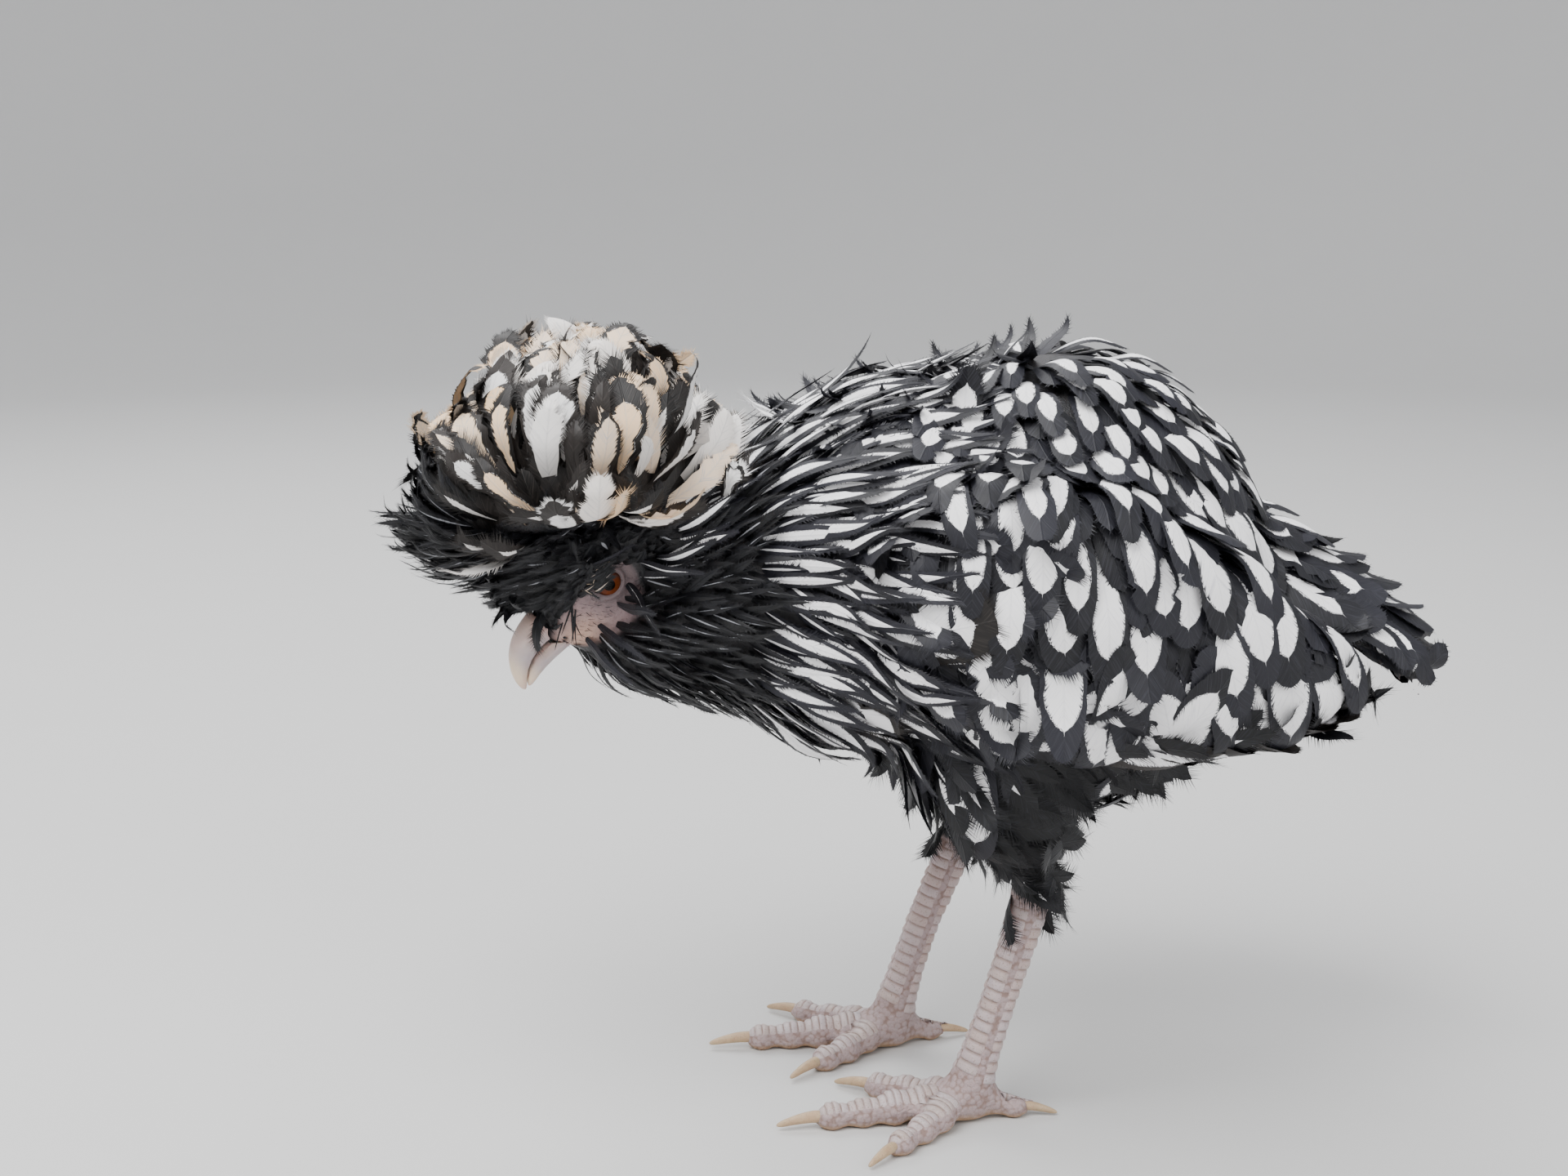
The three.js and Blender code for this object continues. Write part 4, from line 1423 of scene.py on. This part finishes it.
def backFit(look, roots, *others):
    # feathers grow larger down the side, and a few are curled
    down = smoothstep(205, 146, roots[:, 2])
    look["length"] *= 0.60 + 0.40 * down
    look["width"] *= 0.56 + 0.46 * down
    look["coreEnd"] += 0.06 * down ** 2
    look["core"] = np.clip(look["core"] + 0.15 * down ** 2, 0, 0.88)
    look["core"] *= 0.55 + 0.45 * smoothstep(8, 26, lengths(roots - backCrown)[:, 0])
    look["curl"] += sparse(0.06, len(roots)) * 50


def makeBack():
    overWing = (kinds == "wing") & (cz > 138) & (np.abs(cx) > 40)
    flank = ((kinds == "trunk") & (cz > 112)) | ((kinds == "neck") & (cz > 120)) | overWing
    close, wide = backLook["spacing"]
    spacing = close + (wide - close) * smoothstep(205, 150, cz)
    sets = [sown(flank & (cy > -5) & (cy < 86), backLook, backHeading, 5, spacing, backFit),
            underLayer(flank & (cy > -20), backHeading, 4.2)]
    coatPieces("back_plumage", sets, "slateVane", "whiteVane")

    # upright dark curls on the crown of the back and along the top of the neck
    onTop = np.isin(kinds, ["trunk", "neck"]) & (np.abs(cx) < 17) & (cz > 178) & (cy > -36) & (cy < 26)
    spacing = crownLook["spacing"] - 2.4 * smoothstep(17, 9, lengths(triangleCentres - backCrown)[:, 0])
    sets = [sown(onTop, crownLook, backHeading, 60, spacing)]
    coatPieces("crown_curls", sets, "slateVane", "whiteVane")


# Neck: the hackle, the breast under it and the muff
hackleLook = {**pointedTip, "spacing": 4.3, "length": (29, 37), "width": (4.7, 6.7), "depth": 6.2,
              "fray": 1.3, "barbs": 34, "coreEnd": (0.80, 0.9), "core": (0.5, 0.76), "curl": (0, 14),
              "rows": 17, "ruffle": 0.9, "roll": 14, "barbWidth": 0.2}
muffLook = {**pointedTip, "spacing": 2.6, "length": (12, 19), "width": (2.0, 3.2), "depth": 4.6, "fray": 1.6,
            "barbs": 14, "coreStart": 0.1, "coreEnd": (0.6, 0.9), "core": (0.4, 0.1, 0.28), "curl": (0, 24),
            "rows": 9, "roll": 16, "barbWidth": 0.16}


def muffShare(points):
    # 1 in the black muff under the face and throat, 0 in the hackle
    ahead, _, up = headSpace(points)
    below = smoothstep(4, -7, up + 0.22 * (ahead + 20))
    return below * smoothstep(60, 38, lengths(points - headMiddle)[:, 0])


def neckHeading(roots, normals):
    # the hackle flows from the nape, and the muff and throat from under the bill
    away = unit((roots - nape) * np.array([1, 1, 0.85]))
    chin = headMiddle + headAhead * 20 - headUp * 3
    fromChin = unit((roots - chin) * np.array([1, 1, 0.7]))
    share = smoothstep(0.15, 0.7, muffShare(roots))[:, None]
    return flatten(away + (fromChin - away) * share, normals)


def hackleFit(look, roots, *others):
    # short and narrow near the head, broad and more curled low on the breast
    far = smoothstep(-95, -40, roots[:, 1])
    low = smoothstep(135, 110, roots[:, 2])
    look["length"] *= 0.55 + 0.45 * far
    look["width"] *= 0.45 + 0.55 * far
    look["width"] *= 1 + 0.5 * low
    look["core"] = (look["core"] + 0.08 * low) * streakShare(roots)
    look["curl"] += sparse(0.08, len(roots)) * 60
    look["curl"] += 30 * low * rng.uniform(0, 1, len(roots))


def makeNeck():
    onNeck = underCrest | ((kinds == "neck") & ((cy < neckEnd - 8 * smoothstep(190, 168, cz)) | (cz < 120)))
    inMuff = muffShare(triangleCentres) >= 0.5
    ruff = onNeck & ~inMuff
    under = ruff | (np.isin(kinds, ["neck", "trunk"]) & (cy < 0) & (cy > neckEnd))
    sets = [sown(ruff, hackleLook, neckHeading, 7, fit=hackleFit),
            underLayer(under & (cy > -84), neckHeading, 4, 3.9, underHackle)]
    coatPieces("hackle_plumage", sets, "slateVane", "whiteVane")
    sets = [sown(onNeck & inMuff, muffLook, neckHeading, 11)]
    coatPieces("muff_plumage", sets, "inkVane", "greyVane")


# Crest: broad pale leaves over dark fluff, with narrow black plumes on the forehead
crestLook = {**leafTip, "spacing": 5.7, "length": (21, 30), "width": (5.6, 10), "depth": 9, "fray": 2.0,
             "barbs": 60, "coreStart": 0.1, "coreTaper": 0.7, "coreEnd": (0.76, 0.98), "core": (0.72, 0.97),
             "rows": 20, "ragged": 0.09, "coreRagged": 0.11, "splits": 0.10, "ruffle": 2.1, "roll": 25,
             "riseBy": 0.5, "barbWidth": 0.26, "forward": 1.5, "taper": 0.66, "hug": 0.14,
             "offPlumes": (14, 23)}
fluffyLook = {**leafTip, "spacing": 4.6, "length": (16, 24), "width": (4, 7), "depth": 8, "fray": 4.2,
              "barbs": 40, "coreStart": 0.15, "coreEnd": (0.7, 0.9), "core": (0.6, 0.3, 0.7),
              "curl": (0, 50), "ragged": 0.1, "splits": 0.1, "ruffle": 1.8, "roll": 24, "barbWidth": 0.2,
              "forward": 1.3, "hug": 0.14}
plumeLook = {**pointedTip, "spacing": 2.2, "length": (16, 24), "width": (2.0, 3.6), "depth": 8, "fray": 2.2,
             "barbs": 22, "coreStart": 0.1, "coreEnd": (0.6, 0.9), "core": (0.45, 0.1, 0.35),
             "curl": (0, 30), "rows": 11, "ragged": 0.06, "ruffle": 1.7, "barbWidth": 0.16, "forward": 1.6,
             "hug": 0.12}
fringeLook = {**pointedTip, "spacing": 1.7, "length": (11, 20), "width": (1.3, 2.8), "depth": 4, "fray": 1.8,
              "barbs": 18, "coreStart": 0.1, "coreEnd": (0.6, 0.9), "core": (0.3, 0.1, 0.3),
              "curl": (-25, 20), "ragged": 0.06, "ruffle": 1.2, "barbWidth": 0.13, "forward": 1.6,
              "hug": 0.03}
poleLook = {**leafTip, "spacing": 2.6, "length": (8, 14), "width": (2.0, 4.0), "depth": 3, "fray": 2.6,
            "coreStart": 0.15, "coreEnd": (0.7, 0.9), "core": (0.2, 0.2, 0.4), "curl": (0, 55),
            "rows": 8, "ragged": 0.1, "ruffle": 1.2, "roll": 20, "barbWidth": 0.16, "hug": 0.3}


def crestPole(points):
    # the spot over each eye from which that side's feathers fan out
    return headMiddle + np.sign(points[:, :1]) * headSide * 20 + headUp * 6 + headAhead * 4


def crestHeading(roots, normals):
    # feathers fan out from the pole, stand off the surface at its rim, and droop at the back
    away = unit(roots - crestPole(roots))
    rear = smoothstep(-82, -62, roots[:, 1])[:, None]
    away = away + np.array([0, 0.2, -0.14]) * rear
    return unit(away - 0.7 * normals * dot(away, normals))


def fringeHeading(roots, normals):
    # forward over the bill, and a little outward
    away = unit(roots - crestPole(roots)) * 0.55 + np.array([0, -0.85, -0.24])
    away[:, 0] += 0.22 * np.sign(roots[:, 0])
    return unit(away - 0.6 * normals * np.minimum(dot(away, normals), 0))


def awayFromEye(roots, normals):
    ahead, _, up = headSpace(roots)
    return flatten(ahead[:, None] * headAhead + (up + 2)[:, None] * headUp, normals)


def highShare(roots):
    # 1 on top of the crest and at its back, where more of it is pale
    return np.clip(smoothstep(182, 200, roots[:, 2]) + smoothstep(-84, -70, roots[:, 1]), 0, 1)


def crestFit(look, roots, normals, headings):
    # feathers on end at the crest's rim are shorter and lie deeper, and all end at its back edge and its top
    upright = np.clip(dot(headings, normals)[:, 0], 0, 1)
    back = (crestBack - roots[:, 1]) / np.maximum(headings[:, 1], 0.05)
    top = (crestTop - roots[:, 2]) / np.maximum(headings[:, 2], 0.05)
    length = look["length"] * (1 - 0.45 * upright)
    look["length"] = np.minimum(length, np.maximum(np.minimum(back, top), 10))
    look["depth"] = look["depth"] * (1 - 0.7 * upright)


def leafFit(look, roots, normals, headings):
    # a few leaves are dark or rolled up, some are cream, and more are white above and behind
    crestFit(look, roots, normals, headings)
    count, high = len(roots), highShare(roots)
    behind = smoothstep(-84, -62, roots[:, 1])
    look["length"] *= 1 - 0.25 * behind
    look["width"] *= 1 - 0.15 * behind
    look["core"] *= 1 - sparse(0.05, count)
    look["curl"] = between((-14, 22), count) + sparse(0.15, count) * 40
    look["sway"] = rng.normal(0, 19, count)
    look["stain"] = np.where(sparse(0.42, count), between((0.45, 1.0), count), between((0, 0.2), count))
    look["tipPale"] = sparse(0.35 + 0.5 * high, count)
    look["whole"] = sparse(0.18 + 0.2 * high, count)


def fluffyFit(look, roots, normals, headings):
    crestFit(look, roots, normals, headings)
    look["stain"] = np.where(sparse(0.3, len(roots)), between((0.4, 1.0), len(roots)), 0.1)
    look["whole"] = sparse(0.2 + 0.4 * highShare(roots), len(roots))


def fringeFit(look, roots, *others):
    # shorter down toward the bill
    look["length"] *= 0.42 + 0.58 * smoothstep(4, 13, headSpace(roots)[2])


def makeCrest():
    fromPole = lengths(triangleCentres - crestPole(triangleCentres))[:, 0]
    sets = [sown(leafMask & (fromPole > 9), crestLook, crestHeading, 13, fit=leafFit),
            sown(leafMask, fluffyLook, crestHeading, 22, fit=fluffyFit),
            underLayer(leafMask, crestHeading, 2.5, 4.2)]
    coatPieces("crest_plumage", sets, "brownVane", "crestVane")

    # plumes, the fringe over the forehead and the bill's root, and short dark fluff over the eyes
    forehead = np.isin(kinds, ["head", "crest"]) & (centreAhead > -1) & (cz < 166)
    nearPole = np.isin(kinds, ["crest", "neck", "head"]) & (fromPole < 20)
    overEyes = (centreUp > 4) & (bareAt < 0.25)
    sets = [sown(plumeMask, plumeLook, crestHeading, 10, fit=crestFit),
            sown(forehead & overEyes, fringeLook, fringeHeading, 12, fit=fringeFit),
            sown(nearPole & overEyes, poleLook, awayFromEye, 28)]
    coatPieces("forehead_plumes", sets, "inkVane", "greyVane")


# Face: short black feathers round the bare skin, bristles over the bill's root, hairs on the skin
faceTip = {**pointedTip, "coreStart": 0.2, "coreEnd": 0.7, "core": 0.0, "camber": 0.1, "ruffle": 0.2,
           "onFace": True}
faceLook = {**faceTip, "spacing": 1.7, "length": (4, 7.5), "width": (1.3, 2.2), "depth": 1.2, "fray": 0.9,
            "barbs": 7, "curl": (0, 30), "rows": 6, "barbWidth": 0.12}
hairLook = {**faceTip, "spacing": 1.25, "length": (1.8, 3.6), "width": (0.1, 0.2), "depth": 0.4,
            "fray": 0.5, "barbs": 0, "curl": (0, 14), "rows": 5, "ruffle": 0.15}
browLook = {**faceTip, "length": (6.5, 9.5), "width": (1.2, 1.9), "depth": 2.7, "fray": 1.1, "barbs": 12,
            "coreStart": 0.05, "coreEnd": 0.85, "core": (0.4, 0.14, 0.28), "stain": (0.3, 0.8),
            "curl": (-5, 12), "rows": 9, "ruffle": 0.3, "barbWidth": 0.12, "riseBy": 0.4, "hug": 0.5,
            "perSide": 40, "ahead": (2.6, 9.5), "up": (2.2, 7)}
bristleLook = {**faceTip, "length": (7, 12), "width": (0.45, 0.6), "depth": 1.0, "fray": 0.5, "barbs": 0,
               "curl": (-20, 10), "rows": 8, "hug": 0.04, "perSide": 6, "ahead": (12, 19),
               "up": (-2.5, 3)}


def billShare(roots):
    # 1 over the bill's root, where the short feathers point forward
    ahead, _, up = headSpace(roots)
    return smoothstep(8, 12, ahead) * smoothstep(0, 4, up)


def faceHeading(roots, normals):
    front = billShare(roots)[:, None]
    return flatten(headAhead * (2 * front - 1) + 0.2 * headUp, normals)


def faceFit(look, roots, *others):
    look["length"] *= 1 + 0.9 * billShare(roots)


def hairHeading(roots, normals):
    return flatten(-headAhead - 0.3 * headUp, normals)


def besideHead(look):
    # roots on both sides of the head, within a look's stretch of head space
    sides = np.repeat([1.0, -1.0], look["perSide"])
    count = len(sides)
    place = np.stack([between(look["ahead"], count), 15 * sides, between(look["up"], count)], 1)
    spots = headMiddle + place @ np.stack([headAhead, headSide, headUp])
    roots, normals, _ = nearest(skinTree, spots)
    return roots, normals, count


def makeFace():
    lidEdge = np.where(centreUp > 1.5, 4.6, 6.8)
    fromEye = np.hypot(centreAhead, centreUp)
    behindEye = (kinds == "crest") & (fromEye < 14) & (centreUp < 6)
    onHead = (np.isin(kinds, ["head", "eye"]) | behindEye) & (fromEye > lidEdge)
    sets = [sown(onHead & (bareAt < 0.35), faceLook, faceHeading, 16, fit=faceFit),
            sown(onHead & (bareAt >= 0.35), hairLook, hairHeading, 18)]

    # brows with yellowish shafts, which hang over the front of the eye
    roots, normals, count = besideHead(browLook)
    headings = turned(flatten(0.05 * headUp - headAhead, normals), normals, 12)
    sets.append(growVanes(roots, normals, headings, varied(browLook, count)))

    # stiff bristles, which cross the root of the bill
    roots, normals, count = besideHead(bristleLook)
    forward = headAhead * between((0.2, 1.2), count)[:, None]
    downward = headUp * between((0.3, 1), count)[:, None]
    headings = unit(forward - downward + 0.3 * normals)
    sets.append(growVanes(roots, normals, headings, varied(bristleLook, count)))
    coatPieces("face_plumage", sets, "inkVane", "greyVane")


# Wings
covertLook = {**roundTip, "spacing": 8.0, "length": (28, 38), "width": (10, 14), "depth": 3.2, "fray": 1.6,
              "barbs": 34, "coreEnd": (0.74, 0.88), "core": (0.50, 0.76), "curl": (0, 18),
              "curlStart": 0.45, "ragged": 0.05, "rows": 17}
shoulderLook = {**roundTip, "spacing": 8.0, "length": (20, 28), "width": (8, 11), "depth": 3.6, "fray": 3.0,
                "barbs": 44, "coreStart": 0.3, "coreEnd": (0.76, 0.88), "core": (0.6, 0.85),
                "curl": (15, 80), "curlStart": 0.35, "ragged": 0.05, "rows": 18, "roll": 24, "base": 0.3,
                "full": 0.5, "barbWidth": 0.2}
plateLook = {**roundTip, "fray": 3.6, "barbs": 70, "coreEnd": 0.84, "core": 0.86, "rows": 22,
             "barbWidth": 0.2, "curl": 16, "base": 0.35, "roll": 0}
plateLooks = [
    # a broad white feather with a brown rim over each shoulder
    {**plateLook, "root": (56, -27, 142), "heading": (0, 0.9, 0.22), "length": 27, "width": 18, "depth": 7.5},
    # a fluffy one beside the breast
    {**plateLook, "root": (44, -42, 118), "heading": (0, 0.95, -0.2), "length": 22, "width": 11, "depth": 7,
     "fray": 5, "core": 0.9, "coreEnd": 0.93},
    # a wisp of loose down on the nape
    {**plateLook, "root": (4, -36, 184), "heading": (0, -1, 0), "length": 14, "width": 6, "depth": 6,
     "fray": 6, "whole": 1.0, "curl": 75, "curlStart": 0.1, "barbWidth": 0.12},
]
quillLook = {**roundTip, "lengths": (66, 50), "width": (11, 13), "depth": 2.4, "barbs": 60,
             "coreStart": 0.03, "coreEnd": (0.9, 0.93), "core": (0.72, 0.85), "curl": (5, 25),
             "rows": 26, "hug": 0.55, "base": 0.6, "full": 0.2, "taper": 0.75, "perWing": 12}
wingRoot = np.array([55, -20, 156])
wingEnd = np.array([36, 111, 109])


def wingHeading(roots, normals):
    mirrorX = np.sign(roots[:, :1]) * np.array([1, 0, 0]) + np.array([0, 1, 1])
    return flatten(unit(wingEnd - wingRoot) * mirrorX + np.array([0, 0, -0.12]), normals)


def plateOf(look, mirror):
    roots, normals, _ = nearest(skinTree, np.array([look["root"]]) * mirror)
    return growVanes(roots, normals, flatten(np.array([look["heading"]]) * mirror, normals), look)


def quillsOf(mirror):
    # the row of long quills along one wing's lower edge
    count = quillLook["perWing"]
    line = wingEnd - wingRoot
    parts = np.linspace(0.2, 0.62, count)
    starts = wingRoot + line * parts[:, None] + np.array([0, 0, -1]) * (16 * (1 - parts) ** 0.5)[:, None]
    starts[:, 0] += 8
    roots, normals, _ = nearest(skinTree, starts * mirror)
    dip = np.radians(np.linspace(-16, 2, count))[:, None]
    aim = unit(line) * mirror * np.cos(dip) + np.array([0, 0, 1]) * np.sin(dip)
    look = varied({**quillLook, "length": np.linspace(*quillLook["lengths"], count)}, count)
    return growVanes(roots, normals, flatten(aim, normals), look)


def makeWings():
    onWing = (kinds == "wing") & (np.abs(cx) > 38) & (cz < 146)
    onSide = np.isin(kinds, ["wing", "neck", "trunk"]) & (np.abs(cx) > 34)
    shoulder = onSide & (cy > -30) & (cy < -4 + 0.3 * (184 - cz)) & (cz < 184) & (cz > 122)
    sets = [sown(onWing & (cy < 62), covertLook, wingHeading, 7),
            underLayer(onWing & (cy < 80), wingHeading, 1.8),
            sown(shoulder, shoulderLook, wingHeading, 30)]
    coatPieces("wing_coverts", sets, "slateVane", "whiteVane")
    mirrors = [np.array([sign, 1, 1]) for sign in (1, -1)]
    sets = [plateOf(look, mirror) for look in plateLooks for mirror in mirrors]
    coatPieces("shoulder_plates", sets, "brownVane", "whiteVane")
    coatPieces("wing_quills", [quillsOf(mirror) for mirror in mirrors],
               "brownVane", "whiteVane")


# Tail
tailLook = {**roundTip, "length": (50, 58), "width": (13, 15), "depth": 1.5, "barbs": 56,
            "coreStart": 0.03, "coreEnd": (0.74, 0.84), "core": (0.62, 0.84), "curl": (0, 14),
            "rows": 24, "hug": 0.7, "base": 0.6, "full": 0.25, "taper": 0.72, "feathers": 14}
tailCovertLook = {**roundTip, "spacing": 7.5, "length": (24, 34), "width": (9, 12), "depth": 3.5,
                  "fray": 1.6, "barbs": 30, "coreEnd": (0.72, 0.85), "core": (0.35, 0.65),
                  "curl": (0, 45), "rows": 15}


def tailHeading(roots, normals):
    return flatten(np.array([0, 0.9, -0.42]) + roots * np.array([0.008, 0, 0]), normals)


def makeTail():
    # a fan of long feathers, lower and shorter toward its sides, and coverts over their roots
    spread = np.linspace(-1, 1, tailLook["feathers"])
    starts = np.stack([spread * 24, 88 - 6 * spread ** 2, 158 - 14 * spread ** 2], 1)
    roots, normals, _ = nearest(skinTree, starts)
    headings = flatten(np.stack([spread * 0.22, 0 * spread + 0.92, 0 * spread - 0.38], 1), normals)
    look = varied(tailLook, len(roots))
    look["length"] -= 8 * np.abs(spread)
    overTail = ((kinds == "tail") & (cy < 112)) | ((kinds == "trunk") & (cy >= 70) & (cz > 128))
    sets = [growVanes(roots, normals, headings, look), sown(overTail, tailCovertLook, tailHeading, 10)]
    coatPieces("tail_plumage", sets, "slateVane", "whiteVane")


# Belly and thighs
fluffLook = {**leafTip, "spacing": 5.0, "length": (20, 28), "width": (5, 8), "fray": 4.6, "barbs": 36,
             "coreStart": 0.1, "coreEnd": (0.6, 0.8), "core": (0.4, 0.2, 0.5), "curl": (10, 80),
             "ragged": 0.1, "barbWidth": 0.18, "rows": 9}


def fluffHeading(roots, normals):
    return flatten(np.array([0, 0.7, -0.7]), normals)


def fluffFit(look, roots, *others):
    # smaller on the thighs
    onThigh = smoothstep(95, 75, roots[:, 2])
    look["length"] *= 1 - 0.45 * onThigh
    look["width"] *= 1 - 0.3 * onThigh


def makeFluff():
    under = ((kinds == "trunk") & (cz <= 116)) | (kinds == "thigh") | ((kinds == "wing") & (np.abs(cx) <= 38))
    sets = [sown(under & (cz > 60), fluffLook, fluffHeading, 16, fit=fluffFit)]
    coatPieces("belly_fluff", sets, "inkVane", "whiteVane")


plumage = ((41, makeBack), (42, makeNeck), (7, makeCrest), (44, makeFace), (45, makeWings), (46, makeTail),
           (47, makeFluff))
for seed, makePart in plumage:
    rng = np.random.default_rng(seed)    # a seed of its own, so that a change to one part leaves the others
    makePart()
print("plumage is laid")


# Floor: a round sheet whose rim turns up into a backdrop
floorLook = {"flat": 1.7, "bend": 0.9, "height": 2.4, "sides": 64, "steps": 12,
             "colours": ((0.60, 0.597, 0.59), (0.615, 0.612, 0.605))}


def makeFloor():
    flat, bend, sides = floorLook["flat"], floorLook["bend"], floorLook["sides"]
    angles = [math.pi / 2 * step / floorLook["steps"] for step in range(1, floorLook["steps"] + 1)]
    profile = [(flat, 0.0)] + [(flat + bend * math.sin(a), bend * (1 - math.cos(a))) for a in angles]
    profile.append((flat + bend, floorLook["height"]))
    turns = [2 * math.pi * i / sides for i in range(sides)]
    points = [(r * math.cos(a), r * math.sin(a), z) for r, z in profile for a in turns]
    faces = [tuple(range(sides))]
    for ring in range(0, (len(profile) - 1) * sides, sides):
        for i in range(sides):
            j = (i + 1) % sides
            faces.append((ring + j, ring + i, ring + sides + i, ring + sides + j))
    mesh = bpy.data.meshes.new("floor")
    mesh.from_pydata(points, [], faces)
    mesh.shade_smooth()
    material, tree, shader = newMaterial("studio floor", Roughness=0.85, Specular_IOR_Level=0.2)
    surface = useGroup(tree, mottleGroup, Size_mm=60.0, Grain_mm=1.5)
    finishShader(tree, shader, blendColour(tree, surface["Mottle"], *floorLook["colours"]))
    mesh.materials.append(material)
    placed("floor", mesh)


makeFloor()
bpy.context.view_layer.update()
